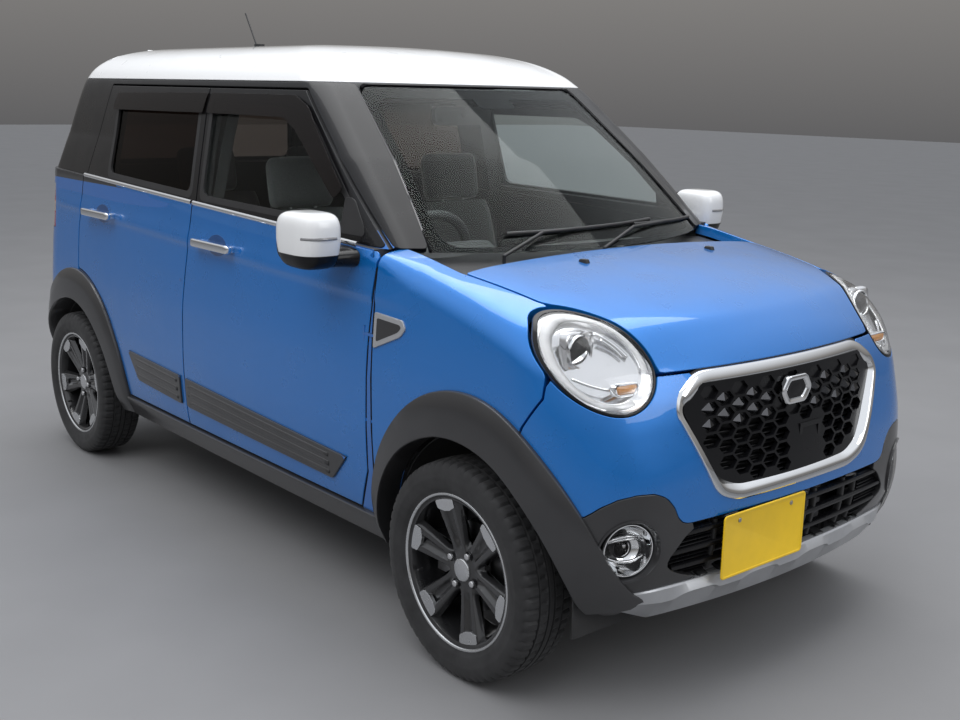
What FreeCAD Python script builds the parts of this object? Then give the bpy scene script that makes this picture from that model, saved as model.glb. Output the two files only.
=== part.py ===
import FreeCAD
import Part
import os
import math

# Small five-door car. X forward, Y to the car's left, Z up, origin on the ground below mid-length.
V = FreeCAD.Vector

# Overall sizes, mm
LENGTH = 3395.0
WIDTH = 1475.0
HEIGHT = 1630.0
WHEELBASE = 2455.0
FRONT_AXLE_X = 1181.5
REAR_AXLE_X = FRONT_AXLE_X - WHEELBASE
TRACK = 1300.0
NOSE_X = LENGTH / 2.0 - 7.5
TAIL_X = -LENGTH / 2.0

# Wheels
TYRE_R = 290.0
TYRE_W = 165.0
RIM_R = 207.0
RIM_SEAT_R = 190.0
RIM_WALL = 9.0
HUB_R = 32.0
RUN_CLEAR = 0.05
SPOKES = 6
NUT_PCD = 100.0
NUT_COUNT = 4
DISC_R = 118.0
DISC_T = 18.0
KINGPIN_Y = 600.0
KINGPIN_R = 9.0
KINGPIN_UP = 26.0

# Walls and gaps
WALL = 66.0
ROOF_WALL = 38.0
FRONT_WALL = 48.0
SKIN_TOP = 32.0
SHUT = 6.0
GLASS = 5.0
GLASS_SET = 9.0
FIT = 0.4

# Heights
SILL_Z = 250.0
SEAM_Z = 330.0
RAIL_Z = 1500.0
FLOOR_Z = 215.0
FLOOR_T = 45.0
BELT_Z = 1094.0
BELT_SLOPE = -0.034

# Wheel arches
ARCH_R = 350.0
# outer edge of a flare, an ellipse set a little ahead of the axle
FLARE_SHIFT = 22.0
FLARE_A = 417.0
FLARE_B = 474.0
FLARE_IN_Y = 600.0
FLARE_FOOT = 312.0
FLARE_Y = WIDTH / 2.0

# Plan outlines of the lower body.
# z, nose x, tail x, half width, nose bow, nose corner depth, tail bow, tail corner depth
LOWER = [
    (250.0, 1615.0, -1625.0, 655.0, 40.0, 300.0, 25.0, 200.0),
    (330.0, 1668.0, -1680.0, 690.0, 36.0, 300.0, 22.0, 200.0),
    (460.0, 1690.0, -1697.5, 708.0, 32.0, 300.0, 20.0, 200.0),
    (580.0, 1686.0, -1690.0, 716.0, 36.0, 300.0, 20.0, 200.0),
    (720.0, 1668.0, -1662.0, 718.0, 50.0, 290.0, 22.0, 190.0),
    (850.0, 1640.0, -1648.0, 712.0, 70.0, 270.0, 24.0, 180.0),
    (950.0, 1590.0, -1638.0, 704.0, 80.0, 250.0, 26.0, 170.0),
    (BELT_Z, 1480.0, -1625.0, 692.0, 80.0, 230.0, 28.0, 160.0),
]
# Plan outlines of the glasshouse and roof, from the belt up.
# z, front x, rear x, half width, front bow, front corner depth, corner y share, rear bow, rear corner depth
UPPER = [
    (BELT_Z, 1005.0, -1618.0, 676.0, 180.0, 270.0, 0.88, 26.0, 130.0),
    (1290.0, 720.0, -1570.0, 634.0, 145.0, 225.0, 0.88, 26.0, 130.0),
    (RAIL_Z, 402.0, -1492.0, 580.0, 90.0, 165.0, 0.87, 26.0, 130.0),
    (1548.0, 330.0, -1462.0, 548.0, 90.0, 165.0, 0.86, 30.0, 130.0),
    (1592.0, 215.0, -1400.0, 480.0, 90.0, 160.0, 0.85, 40.0, 130.0),
    (1618.0, 60.0, -1290.0, 370.0, 80.0, 150.0, 0.84, 50.0, 130.0),
    (HEIGHT, -120.0, -1120.0, 210.0, 60.0, 110.0, 0.80, 50.0, 100.0),
]
# Bonnet and wing tops. x, crown z, z at the bonnet seam, z at the wing shoulder
SEAM_Y = 580.0
# rolled shoulder, from the flank up: y, share of the fall from seam to shoulder, extra fall
ROLL = [(706.0, 1.05, 62.0), (694.0, 0.98, 30.0), (670.0, 0.80, 12.0), (632.0, 0.44, 3.0)]
TOPS = [
    (780.0, 1092.0, 1074.0, 1050.0),
    (1050.0, 1062.0, 1040.0, 1003.0),
    (1250.0, 1038.0, 1006.0, 955.0),
    (1450.0, 988.0, 952.0, 895.0),
    (1580.0, 918.0, 885.0, 835.0),
    (1660.0, 848.0, 815.0, 770.0),
    (1760.0, 740.0, 710.0, 670.0),
]

# Side outlines, x and z
DOOR_TOP_Z = 1478.0
WINDOW_TOP_Z = 1446.0
FRONT_DOOR = [(722.0, SEAM_Z), (772.0, 450.0), (782.0, 810.0), (800.0, 1062.0),
              (278.0, DOOR_TOP_Z), (-300.0, DOOR_TOP_Z), (-256.0, 1100.0), (-300.0, 760.0), (-330.0, SEAM_Z)]
FRONT_WINDOW = [(700.0, 1105.0), (325.0, 1412.0), (235.0, WINDOW_TOP_Z), (-268.0, WINDOW_TOP_Z), (-236.0, 1120.0)]
REAR_DOOR = [(-336.0, SEAM_Z), (-306.0, 760.0), (-262.0, 1100.0), (-306.0, DOOR_TOP_Z),
             (-1093.0, DOOR_TOP_Z), (-1180.0, 1135.0), (-1218.0, 930.0), (-1220.0, SEAM_Z)]
REAR_WINDOW = [(-300.0, 1122.0), (-338.0, WINDOW_TOP_Z), (-1010.0, 1438.0), (-985.0, 1146.0)]
PILLAR_Y = 592.0
HINGE_Y = 709.0
FRONT_HINGE_X = 766.0
REAR_HINGE_X = -325.0
HINGE_Z = (600.0, 840.0)
HINGE_PIN_R = 3.0
HINGE_PLATE = 8.0
PILLAR_X = (-380.0, -235.0)
PILLAR_T = 42.0

# Tailgate
GATE_X = -1300.0
GATE_LOW_Z = 600.0
GATE_SHUT = 10.0
GATE_HINGE_Y = 330.0
GATE_PIN_Z = 1612.0
PIN_R = 5.0
GATE_HALF = [(600.0, 560.0), (1100.0, 575.0), (RAIL_Z, 500.0), (1700.0, 500.0)]
# Bonnet plan, x and half y
BONNET_PLAN = [(1056.0, 596.0), (1300.0, 566.0), (1480.0, 500.0), (1575.0, 440.0), (1640.0, 350.0)]
BONNET_FRONT = 1720.0
BONNET_HINGE = (1072.0, 1015.0)
BONNET_PIN_R = 5.0
COWL_X = 1014.0
COWL_DROP = 34.0

OUT = "parts"
os.makedirs(OUT, exist_ok=True)
PIECES = {}


def keep(name, shape):
    if shape.ShapeType == "Compound" and len(shape.Solids) == 1:
        shape = shape.Solids[0]
    PIECES[name] = shape


def block(x0, x1, y0, y1, z0, z1):
    return Part.makeBox(x1 - x0, y1 - y0, z1 - z0, V(x0, y0, z0))


def face_of(points):
    pts = list(points) + [points[0]]
    return Part.Face(Part.makePolygon(pts))


def side_prism(outline, y0, y1):
    return face_of([V(x, y0, z) for x, z in outline]).extrude(V(0, y1 - y0, 0))


def front_prism(outline, x0, x1):
    return face_of([V(x0, y, z) for y, z in outline]).extrude(V(x1 - x0, 0, 0))


def plan_prism(outline, z0, z1):
    return face_of([V(x, y, z0) for x, y in outline]).extrude(V(0, 0, z1 - z0))


def rod(start, axis, radius, length):
    return Part.makeCylinder(radius, length, V(*start), V(*axis))


def fuse(shapes):
    shapes = list(shapes)
    if len(shapes) == 1:
        return shapes[0]
    return shapes[0].multiFuse(shapes[1:]).removeSplitter()


def mirrored(shape):
    return shape.mirror(V(0, 0, 0), V(0, 1, 0))


def both(name, shape):
    keep(name + "_right", shape)
    keep(name + "_left", mirrored(shape))


def pair(name, shapes):
    # like pieces of both sides share one node as solids that do not touch
    solids = []
    for shape in shapes:
        solids.append(biggest(shape))
        solids.append(mirrored(biggest(shape)))
    keep(name, Part.makeCompound(solids))


def biggest(shape):
    return max(shape.Solids, key=lambda s: s.Volume)


def outline(z, nose, tail, half, bow, depth, share, tail_bow, tail_depth, slope):
    # eight arcs: nose, corner, side, corner, tail, corner, side, corner
    def at(x, y):
        return V(x, y, z + slope * x)
    ya = share * half
    yb = 0.985 * half
    yr = 0.80 * half
    a = (nose - bow, ya)
    b = (nose - depth, yb)
    c = (a[0] - 0.30 * (a[0] - b[0]), ya + 0.70 * (yb - ya))
    g = (tail + tail_bow, yr)
    d = (tail + tail_depth, yb)
    e = (g[0] + 0.30 * (d[0] - g[0]), yr + 0.70 * (yb - yr))
    mid = (0.5 * (b[0] + d[0]), half)
    half_run = [((b, mid, d)), ((d, e, g))]
    edges = [Part.Arc(at(a[0], -a[1]), at(nose, 0), at(*a)).toShape(),
             Part.Arc(at(*a), at(*c), at(*b)).toShape()]
    for p, q, r in half_run:
        edges.append(Part.Arc(at(*p), at(*q), at(*r)).toShape())
    edges.append(Part.Arc(at(*g), at(tail, 0), at(g[0], -g[1])).toShape())
    for p, q, r in reversed(half_run):
        edges.append(Part.Arc(at(r[0], -r[1]), at(q[0], -q[1]), at(p[0], -p[1])).toShape())
    edges.append(Part.Arc(at(b[0], -b[1]), at(c[0], -c[1]), at(a[0], -a[1])).toShape())
    return Part.Wire(edges)


FORMS = {}


def lower_form(inset):
    if ("lower", inset) in FORMS:
        return FORMS[("lower", inset)]
    wires = []
    for z, nose, tail, half, bow, depth, tbow, tdepth in LOWER:
        slope = BELT_SLOPE if z == BELT_Z else 0.0
        wires.append(outline(z, nose - inset, tail + inset, half - inset, bow, depth, 0.70,
                             tbow, tdepth, slope))
    FORMS[("lower", inset)] = Part.makeLoft(wires, True, True)
    return FORMS[("lower", inset)]


def upper_form(inset, drop):
    if ("upper", inset, drop) in FORMS:
        return FORMS[("upper", inset, drop)]
    wires = []
    for row in UPPER:
        z, nose, tail, half, bow, depth, share, tbow, tdepth = row
        slope = BELT_SLOPE if z == BELT_Z else 0.0
        fall = drop if z > RAIL_Z else 0.0
        wires.append(outline(z - fall, nose - inset, tail + inset, half - inset, bow, depth, share,
                             tbow, tdepth, slope))
    FORMS[("upper", inset, drop)] = Part.makeLoft(wires, True, True)
    return FORMS[("upper", inset, drop)]


def top_limit(drop):
    wires = []
    for x, crown, seam, shoulder in TOPS:
        low = V(x, -950.0, -50.0)
        a = V(x, -950.0, shoulder - 260.0 - drop)
        c = V(x, -SEAM_Y, seam - drop)
        d = V(x, 0.0, crown - drop)
        path = [low, a]
        for y, share, fall in ROLL:
            path.append(V(x, -y, seam + (shoulder - seam) * share - fall - drop))
        path.append(c)
        mirror = [V(p.x, -p.y, p.z) for p in reversed(path)]
        right = [Part.makeLine(p, q) for p, q in zip(path, path[1:])]
        left = [Part.makeLine(p, q) for p, q in zip(mirror, mirror[1:])]
        wires.append(Part.Wire(right + [Part.Arc(c, d, mirror[0]).toShape()] + left +
                               [Part.makeLine(mirror[-1], low)]))
    front = Part.makeLoft(wires, True, True)
    return front


# Body forms
CUT_X = TOPS[0][0]
rear_room = block(-1800.0, CUT_X, -1000.0, 1000.0, -50.0, 1300.0)


def under_top(form, drop):
    return form.common(top_limit(drop)).fuse(form.common(rear_room)).removeSplitter()


lower = under_top(lower_form(0.0), 0.0)
upper = upper_form(0.0, 0.0)
# arches for the wheels, cut straight down below the axle height


def arch(axle_x, radius, y0, y1):
    ring = rod((axle_x, y0, TYRE_R), (0, 1, 0), radius, y1 - y0)
    return ring.fuse(block(axle_x - radius, axle_x + radius, y0, y1, -60.0, TYRE_R))


FRONT_WELL_Y = 384.0
REAR_WELL_Y = 545.0
wells_right = arch(FRONT_AXLE_X, ARCH_R, -1000.0, -FRONT_WELL_Y).fuse(
    arch(REAR_AXLE_X, ARCH_R, -1000.0, -REAR_WELL_Y))
right_half = block(-1800.0, 1800.0, -1000.0, -300.0, -60.0, 1700.0)

cabin_low = lower_form(WALL).common(block(-1800.0, 870.0, -1000.0, 1000.0, 0.0, 1400.0))
cabin_high = upper_form(ROOF_WALL, ROOF_WALL - 8.0)
bay = lower_form(FRONT_WALL).common(top_limit(SKIN_TOP)).common(
    block(800.0, 1700.0, -1000.0, 1000.0, 100.0, 1300.0))

lower_wall = lower.cut(cabin_low).cut(bay)
upper_wall = upper.cut(cabin_high)
print("forms", lower.isValid(), upper.isValid(), lower_wall.isValid(), upper_wall.isValid())

# Side walls of the right half, both storeys in one
side_low = lower_wall.common(right_half).cut(wells_right)
side_high = upper_wall.common(right_half)
side = side_low.fuse(side_high)
side = side.common(block(-1800.0, 1800.0, -1000.0, -300.0, SILL_Z, RAIL_Z))


def grow(outline_points, by):
    # moves each corner out from the outline's middle along both axes
    cx = sum(p[0] for p in outline_points) / len(outline_points)
    cz = sum(p[1] for p in outline_points) / len(outline_points)
    poly = face_of([V(x, 0, z) for x, z in outline_points])
    wire = poly.OuterWire.makeOffset2D(by, 2)
    pts = [v.Point for v in wire.OrderedVertexes]
    return [(p.x, p.z) for p in pts]


def flare_disc(axle_x, by, y0, y1):
    c = V(axle_x + FLARE_SHIFT, y0, TYRE_R)
    edge = Part.Ellipse(V(c.x, y0, c.z + FLARE_B + by), V(c.x + FLARE_A + by, y0, c.z), c).toShape()
    return Part.Face(Part.Wire(edge)).extrude(V(0, y1 - y0, 0))


def door_zone(points, by, flare):
    pts = grow(points, by) if by else points
    zone = side_prism(pts, -1000.0, -400.0)
    if flare:
        zone = zone.cut(flare_disc(REAR_AXLE_X, 8.0 - by, -1000.0, -300.0))
    return zone


front_zone = door_zone(FRONT_DOOR, 0.0, False)
rear_zone = door_zone(REAR_DOOR, 0.0, True)
door_front = side.common(front_zone).cut(side_prism(FRONT_WINDOW, -1000.0, -400.0))
door_rear = side.common(rear_zone).cut(side_prism(REAR_WINDOW, -1000.0, -400.0))
half_t = HINGE_PLATE / 2.0
for z in HINGE_Z:
    bore = rod((FRONT_HINGE_X, -HINGE_Y, z - 22.5), (0, 0, 1), HINGE_PIN_R + RUN_CLEAR, 45.0)
    slot = block(FRONT_HINGE_X - 11.0, FRONT_HINGE_X + 60.0, -1000.0, -HINGE_Y + 14.0,
                 z - half_t - FIT, z + half_t + FIT)
    door_front = door_front.cut(bore.fuse(slot))
    bore = rod((REAR_HINGE_X, -HINGE_Y, z - 22.5), (0, 0, 1), HINGE_PIN_R + RUN_CLEAR, 45.0)
    slot = block(REAR_HINGE_X - 11.0, REAR_HINGE_X + 90.0, -HINGE_Y - 9.0, -500.0,
                 z - half_t - FIT, z + half_t + FIT)
    door_rear = door_rear.cut(bore.fuse(slot))
# leading edge of the rear door, rounded about the hinge so that it turns clear of the pillar: radius, z
LEAD = [(60.0, 325.0), (60.0, 620.0), (65.0, 850.0), (71.0, 950.0), (76.0, 1060.0), (72.0, 1100.0),
        (112.0, 1290.0), (150.0, 1480.0)]
lead = face_of([V(0, 0, LEAD[0][1])] + [V(r, 0, z) for r, z in LEAD] + [V(0, 0, LEAD[-1][1])])
lead = lead.revolve(V(0, 0, 0), V(0, 0, 1), 360.0)
lead.translate(V(REAR_HINGE_X, -HINGE_Y, 0.0))
door_rear = door_rear.cut(block(REAR_HINGE_X, -200.0, -HINGE_Y, -450.0, 326.0, 1479.0).cut(lead))
HANDLE_Z = (985.0, 1005.0)
HANDLE_X = [(-190.0, 50.0), (-1100.0, -865.0)]
HANDLE_OUT = 738.0
HANDLE_H = 24.0
HANDLE_T = 15.0


def handle(x0, x1, z):
    # pull bar on two feet
    half = 0.5 * HANDLE_H
    bar = side_prism([(x0 + 8.0, z - half), (x1 - 8.0, z - half), (x1, z - half + 8.0), (x1, z + half - 8.0),
                      (x1 - 8.0, z + half), (x0 + 8.0, z + half), (x0, z + half - 8.0), (x0, z - half + 8.0)],
                     -HANDLE_OUT, -HANDLE_OUT + HANDLE_T)
    feet = [block(x - 14.0, x + 14.0, -HANDLE_OUT + HANDLE_T - 1.0, -690.0, z - half + 3.0, z + half - 3.0)
            for x in (x0 + 16.0, x1 - 16.0)]
    return [bar] + feet


# door garnish, lower front, upper front, upper rear, lower rear
GARNISH_T = 7.0
GARNISH_F = [(597.0, 382.0), (676.0, 466.0), (-306.0, 500.0), (-313.0, 398.0)]
GARNISH_R = [(-356.0, 399.0), (-349.0, 501.0), (-770.0, 515.0), (-705.0, 414.0)]


def garnish(points):
    return lower_form(-GARNISH_T).cut(lower_form(1.0)).common(side_prism(points, -1000.0, -600.0))


door_front = fuse([biggest(door_front), garnish(GARNISH_F)] + handle(*HANDLE_X[0], HANDLE_Z[0]))
door_rear = fuse([biggest(door_rear), garnish(GARNISH_R)] + handle(*HANDLE_X[1], HANDLE_Z[1]))
both("door_front", biggest(door_front))
both("door_rear", biggest(door_rear))

glass_skin = upper_form(GLASS_SET, 0.0).cut(upper_form(GLASS_SET + GLASS, 0.0)).common(right_half)
both("glass_front", glass_skin.common(side_prism(FRONT_WINDOW, -1000.0, -400.0)).common(
    block(-500.0, 690.0, -900.0, -400.0, 1112.0, 1460.0)))
both("glass_rear", glass_skin.common(side_prism(REAR_WINDOW, -1000.0, -400.0)).common(
    block(-1200.0, -200.0, -900.0, -400.0, 1112.0, 1460.0)))

# Tailgate, bumper and lamps at the tail
gate_pts = [(y, z) for z, y in GATE_HALF]
gate_outline = gate_pts + [(-y, z) for y, z in reversed(gate_pts)]
gate_zone = front_prism(gate_outline, -1800.0, GATE_X)


def gate_grown(by):
    pts = [(y + by, z) for y, z in gate_pts]
    pts[0] = (pts[0][0], pts[0][1] - by)
    ring = pts + [(-y, z) for y, z in reversed(pts)]
    return front_prism(ring, -1800.0, GATE_X + by)


rear_wall = lower_wall.fuse(upper_wall).common(block(-1800.0, GATE_X, -700.0, 700.0, GATE_LOW_Z, 1700.0))
tailgate = rear_wall.common(gate_zone)
STEP_IN = 10.0
STEP_DEEP = 5.0
step_pts = [(y - STEP_IN, z) for y, z in gate_pts]
step_pts[0] = (step_pts[0][0], step_pts[0][1] + STEP_IN)
inner_zone = front_prism(step_pts + [(-y, z) for y, z in reversed(step_pts)], -1900.0, -1200.0)
inner_form = lower_form(STEP_DEEP).common(rear_room).fuse(upper_form(STEP_DEEP, STEP_DEEP))
tailgate = tailgate.cut(inner_form.cut(inner_zone))
GATE_WINDOW = [(-500.0, 1150.0), (500.0, 1150.0), (440.0, 1440.0), (-440.0, 1440.0)]
window_cut = front_prism(GATE_WINDOW, -1800.0, -1380.0)
tailgate = tailgate.cut(window_cut)
gate_glass = upper_form(GLASS_SET, 0.0).cut(upper_form(GLASS_SET + GLASS, 0.0)).common(window_cut)
keep("tailgate_glass", gate_glass)

bumper_zone = side_prism([(-1800.0, 240.0), (-1545.0, 240.0), (-1545.0, GATE_LOW_Z - SHUT),
                          (-1800.0, GATE_LOW_Z - SHUT)], -1000.0, 1000.0)
bumper_rear = lower_wall.common(bumper_zone).cut(wells_right).cut(mirrored(wells_right))
keep("bumper_rear", bumper_rear)

LAMP_Z = (905.0, 1085.0)
lamp_zone = block(-1800.0, -1480.0, -1000.0, -583.0, LAMP_Z[0], LAMP_Z[1])
lamp_rear = side.common(lamp_zone).cut(gate_grown(SHUT))
pair("tail_lamps", [lamp_rear])

# Roof with the fixed pins of the tailgate's two hinges
roof = upper_wall.common(block(GATE_X + GATE_SHUT, 1200.0, -700.0, 700.0, RAIL_Z, 1700.0))
corner = upper_wall.common(block(-1800.0, GATE_X + GATE_SHUT + 1.0, 500.0 + GATE_SHUT, 700.0, RAIL_Z, 1700.0))
corner = biggest(corner)
roof_parts = [roof, corner, mirrored(corner)]
gate_parts = [tailgate]
for sign in (-1.0, 1.0):
    y0 = sign * GATE_HINGE_Y
    roof_parts.append(rod((GATE_X, y0 - 30.0, GATE_PIN_Z), (0, 1, 0), PIN_R, 60.0))
    for off in (-30.0, 20.0):
        roof_parts.append(block(GATE_X - 4.0, GATE_X + 40.0, y0 + off, y0 + off + 10.0, 1585.0, GATE_PIN_Z + 4.0))
    lug = rod((GATE_X, y0 - 14.0, GATE_PIN_Z), (0, 1, 0), PIN_R + 4.0, 28.0).fuse(
        block(GATE_X - 40.0, GATE_X, y0 - 14.0, y0 + 14.0, 1580.0, GATE_PIN_Z + 2.0))
    gate_parts.append(lug.cut(rod((GATE_X, y0 - 40.0, GATE_PIN_Z), (0, 1, 0), PIN_R + RUN_CLEAR, 80.0)))
keep("roof", fuse(roof_parts))
tailgate = fuse(gate_parts)
for sign in (-1.0, 1.0):
    y0 = sign * GATE_HINGE_Y
    tailgate = tailgate.cut(rod((GATE_X, y0 - 40.0, GATE_PIN_Z), (0, 1, 0), PIN_R + RUN_CLEAR, 80.0))
    for off in (-35.0, 15.0):
        tailgate = tailgate.cut(block(GATE_X - 9.0, GATE_X + 9.0, y0 + off, y0 + off + 20.0, 1575.0, 1640.0))
keep("tailgate", tailgate)
# Windscreen
SCREEN = [(-560.0, 1030.0), (560.0, 1030.0), (440.0, RAIL_Z), (-440.0, RAIL_Z)]
screen_cut = front_prism(SCREEN, 200.0, 1200.0)
screen = upper_form(GLASS_SET, 0.0).cut(upper_form(GLASS_SET + GLASS, 0.0)).common(screen_cut)
screen = screen.common(block(200.0, 1200.0, -600.0, 600.0, 1040.0, RAIL_Z - FIT))
keep("windscreen", screen)

# Side frame: pillars, sill, quarter
frame_side = side.cut(door_zone(FRONT_DOOR, SHUT, False)).cut(door_zone(REAR_DOOR, SHUT, True))
frame_side = frame_side.cut(gate_grown(SHUT)).cut(bumper_zone).cut(lamp_zone).cut(screen_cut)
frame_side = frame_side.common(block(-1800.0, 800.0, -1000.0, -300.0, SILL_Z, RAIL_Z))
hinge_pillar = lower_form(FRONT_WALL + 1.0).common(top_limit(SKIN_TOP + 1.0).fuse(rear_room)).common(
    block(780.0, 880.0, -1000.0, -PILLAR_Y, SILL_Z, 1040.0))
hinge_pillar = hinge_pillar.cut(door_zone(FRONT_DOOR, SHUT, False)).cut(wells_right)


def band(out_low, out_high, x0, x1, z0, z1):
    # strip of the two storeys' inner forms between two inset depths
    low = lower_form(out_low).common(rear_room)
    high = upper_form(out_high, 0.0)
    return low.fuse(high).common(block(x0, x1, -1000.0, -300.0, z0, z1))


pillar = band(WALL + SHUT, ROOF_WALL + SHUT, PILLAR_X[0], PILLAR_X[1], SILL_Z, RAIL_Z).cut(
    band(WALL + SHUT + PILLAR_T, ROOF_WALL + SHUT + PILLAR_T, PILLAR_X[0] - 1.0, PILLAR_X[1] + 1.0, 0.0, 1600.0))
foot = band(WALL - 20.0, ROOF_WALL, PILLAR_X[0], PILLAR_X[1], SILL_Z, SEAM_Z - SHUT).cut(
    band(WALL + SHUT + PILLAR_T, ROOF_WALL, PILLAR_X[0] - 1.0, PILLAR_X[1] + 1.0, 0.0, 1600.0))
head = band(WALL, ROOF_WALL - 20.0, PILLAR_X[0], PILLAR_X[1], DOOR_TOP_Z + SHUT, RAIL_Z).cut(
    band(WALL, ROOF_WALL + SHUT + PILLAR_T, PILLAR_X[0] - 1.0, PILLAR_X[1] + 1.0, 0.0, 1600.0))
hinges = []
for z in HINGE_Z:
    hinges.append(rod((REAR_HINGE_X, -HINGE_Y, z - 22.0), (0, 0, 1), HINGE_PIN_R, 44.0))
    hinges.append(block(REAR_HINGE_X - 5.0, REAR_HINGE_X + 9.0, -HINGE_Y - 5.0, -620.0, z - half_t, z + half_t))
    hinges.append(rod((FRONT_HINGE_X, -HINGE_Y, z - 22.0), (0, 0, 1), HINGE_PIN_R, 44.0))
    hinges.append(block(FRONT_HINGE_X - 5.0, 812.0, -HINGE_Y - 2.0, -HINGE_Y + 9.0, z - half_t, z + half_t))
    hinges.append(block(797.0, 812.0, -HINGE_Y - 2.0, -640.0, z - half_t, z + half_t))
both("side_frame", biggest(fuse([biggest(frame_side), hinge_pillar, pillar, foot, head] + hinges)))

# Front: wings, bonnet, bumper, lamps
bonnet_side = BONNET_PLAN + [(BONNET_FRONT, 350.0)]
bonnet_plan = bonnet_side + [(x, -y) for x, y in reversed(bonnet_side)]


def bonnet_zone(by):
    pts = [(x, y + by) for x, y in bonnet_side]
    pts[0] = (pts[0][0] - by, pts[0][1])
    ring = pts + [(x, -y) for x, y in reversed(pts)]
    return plan_prism(ring, 850.0 - by, 1200.0)



LAMP_C = V(1500.0, -560.6, 876.2)
LAMP_DIR = V(0.9975, 0.041, 0.058)
LAMP_R = 116.0
LAMP_BACK = 160.0
lamp_start = LAMP_C - LAMP_DIR * LAMP_BACK


def lamp_rod(radius, length):
    return Part.makeCylinder(radius, length, lamp_start, LAMP_DIR)


lamp_front = lower.common(lamp_rod(LAMP_R, LAMP_BACK + 120.0))
# below the skin the gap is longer at the back, so that the bonnet can rise past the lamp
lamp_gap = Part.makeCylinder(LAMP_R + SHUT, 700.0, lamp_start - LAMP_DIR * SHUT, LAMP_DIR)
lamp_gap = lamp_gap.fuse(Part.makeCylinder(LAMP_R + 2.0 * SHUT, 700.0, lamp_start - LAMP_DIR * 18.0,
                                           LAMP_DIR).common(top_limit(5.0)))
bonnet = lower.common(bonnet_zone(0.0)).cut(top_limit(SKIN_TOP)).cut(lamp_gap).cut(mirrored(lamp_gap))
for sign in (-1.0, 1.0):
    bonnet = bonnet.cut(rod((BONNET_HINGE[0], sign * 700.0, BONNET_HINGE[1]), (0, -sign, 0),
                            BONNET_PIN_R + RUN_CLEAR, 700.0 - BONNET_PLAN[0][1] + 30.0))
keep("bonnet", biggest(bonnet))
pair("headlamps", [lamp_front])
lamp_hole = lamp_rod(LAMP_R, 700.0)

nose_wall = lower_wall.cut(wells_right).cut(mirrored(wells_right)).cut(bonnet_zone(SHUT))
nose_wall = nose_wall.common(block(800.0, 1800.0, -1000.0, 1000.0, SILL_Z, 1100.0))
nose_wall = nose_wall.cut(lamp_hole).cut(mirrored(lamp_hole))
WING_SEAM = [(806.0, 330.0), (1395.0, 330.0), (1395.0, 715.0), (1450.0, 800.0), (1450.0, 1100.0),
             (806.0, 1100.0)]
wing_zone = side_prism(WING_SEAM, -1000.0, -560.0).cut(block(800.0, 1052.0, -604.0, 604.0, 240.0, 1100.0))
wing = nose_wall.common(wing_zone).cut(block(806.0, 813.0, -1000.0, -600.0, HINGE_Z[0] - 6.0, HINGE_Z[0] + 6.0))
wing = wing.cut(block(806.0, 813.0, -1000.0, -600.0, HINGE_Z[1] - 6.0, HINGE_Z[1] + 6.0))
pin = rod((BONNET_HINGE[0], -680.0, BONNET_HINGE[1]), (0, 1, 0), BONNET_PIN_R, 680.0 - BONNET_PLAN[0][1] + 28.0)
wing = wing.fuse(pin.common(lower_form(20.0)))
pair("wings", [wing])

CLAD_TOP = 548.0
BAND_LOW = 497.0
BAND_Y = 430.0
nose_front = nose_wall.common(side_prism([(1400.0, 200.0), (1800.0, 200.0), (1800.0, 1000.0),
                                          (1455.0, 1000.0), (1455.0, 798.0), (1400.0, 713.0)],
                                         -1000.0, 1000.0))
GRILLE = [(-240.0, 525.0), (240.0, 525.0), (312.0, 552.0), (420.0, 757.0), (405.0, 800.0),
          (335.0, 846.0), (-335.0, 846.0), (-405.0, 800.0), (-420.0, 757.0), (-312.0, 552.0)]
INTAKE = [(-375.0, 345.0), (375.0, 345.0), (470.0, 400.0), (392.0, 488.0), (-392.0, 488.0),
          (-470.0, 400.0)]
FOG_Y = 563.0
FOG_Z = 449.0
FOG_R = 78.0
FOG_DIR = V(0.94, -0.34, 0.0)
FOG_C = V(1640.0, -FOG_Y, FOG_Z)
fog_rod = Part.makeCylinder(FOG_R, 300.0, FOG_C - FOG_DIR * 70.0, FOG_DIR)
fog = lower.common(fog_rod)
BEZEL = 9.0
bezel = Part.makeCylinder(FOG_R, 70.0 + BEZEL, FOG_C - FOG_DIR * 70.0, FOG_DIR).cut(
    Part.makeCylinder(FOG_R - BEZEL, 200.0, FOG_C - FOG_DIR * 90.0, FOG_DIR))
fog = fog.fuse(bezel.common(lower_form(-BEZEL))).removeSplitter()
pair("fog_lamps", [fog])
grille_cut = front_prism(GRILLE, 1500.0, 1800.0)
intake_cut = front_prism(INTAKE, 1500.0, 1800.0)
# border of paint and cladding, from the arch in: y, z
BORDER = [(1000.0, CLAD_TOP), (652.0, CLAD_TOP - 14.0), (606.0, CLAD_TOP + 30.0), (500.0, CLAD_TOP + 38.0),
          (455.0, CLAD_TOP), (BAND_Y, BAND_LOW + 4.0), (BAND_Y - 40.0, BAND_LOW)]
paint_zone = front_prism([(-1000.0, 1000.0)] + [(-y, z) for y, z in BORDER] + list(reversed(BORDER)) +
                         [(1000.0, 1000.0)], 1300.0, 1800.0)
bumper_front = nose_front.common(paint_zone).cut(grille_cut)
keep("bumper_front", biggest(bumper_front))
SKID = [(-520.0, 240.0), (520.0, 240.0), (490.0, 318.0), (445.0, 336.0), (-445.0, 336.0), (-490.0, 318.0)]
skid_cut = front_prism(SKID, 1500.0, 1800.0)
clad = nose_front.common(block(1300.0, 1800.0, -1000.0, 1000.0, SILL_Z, 1000.0)).cut(paint_zone).cut(skid_cut)
clad = clad.cut(grille_cut).cut(intake_cut).cut(fog_rod).cut(mirrored(fog_rod))
keep("bumper_cladding", clad)
skid = lower_form(-4.0).cut(lower_form(20.0)).common(skid_cut).common(
    block(FRONT_AXLE_X + ARCH_R + FIT, 1800.0, -600.0, 600.0, SILL_Z, 400.0))
keep("skid_plate", skid)


def shrink(points, by):
    return grow(points, -by)


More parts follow.
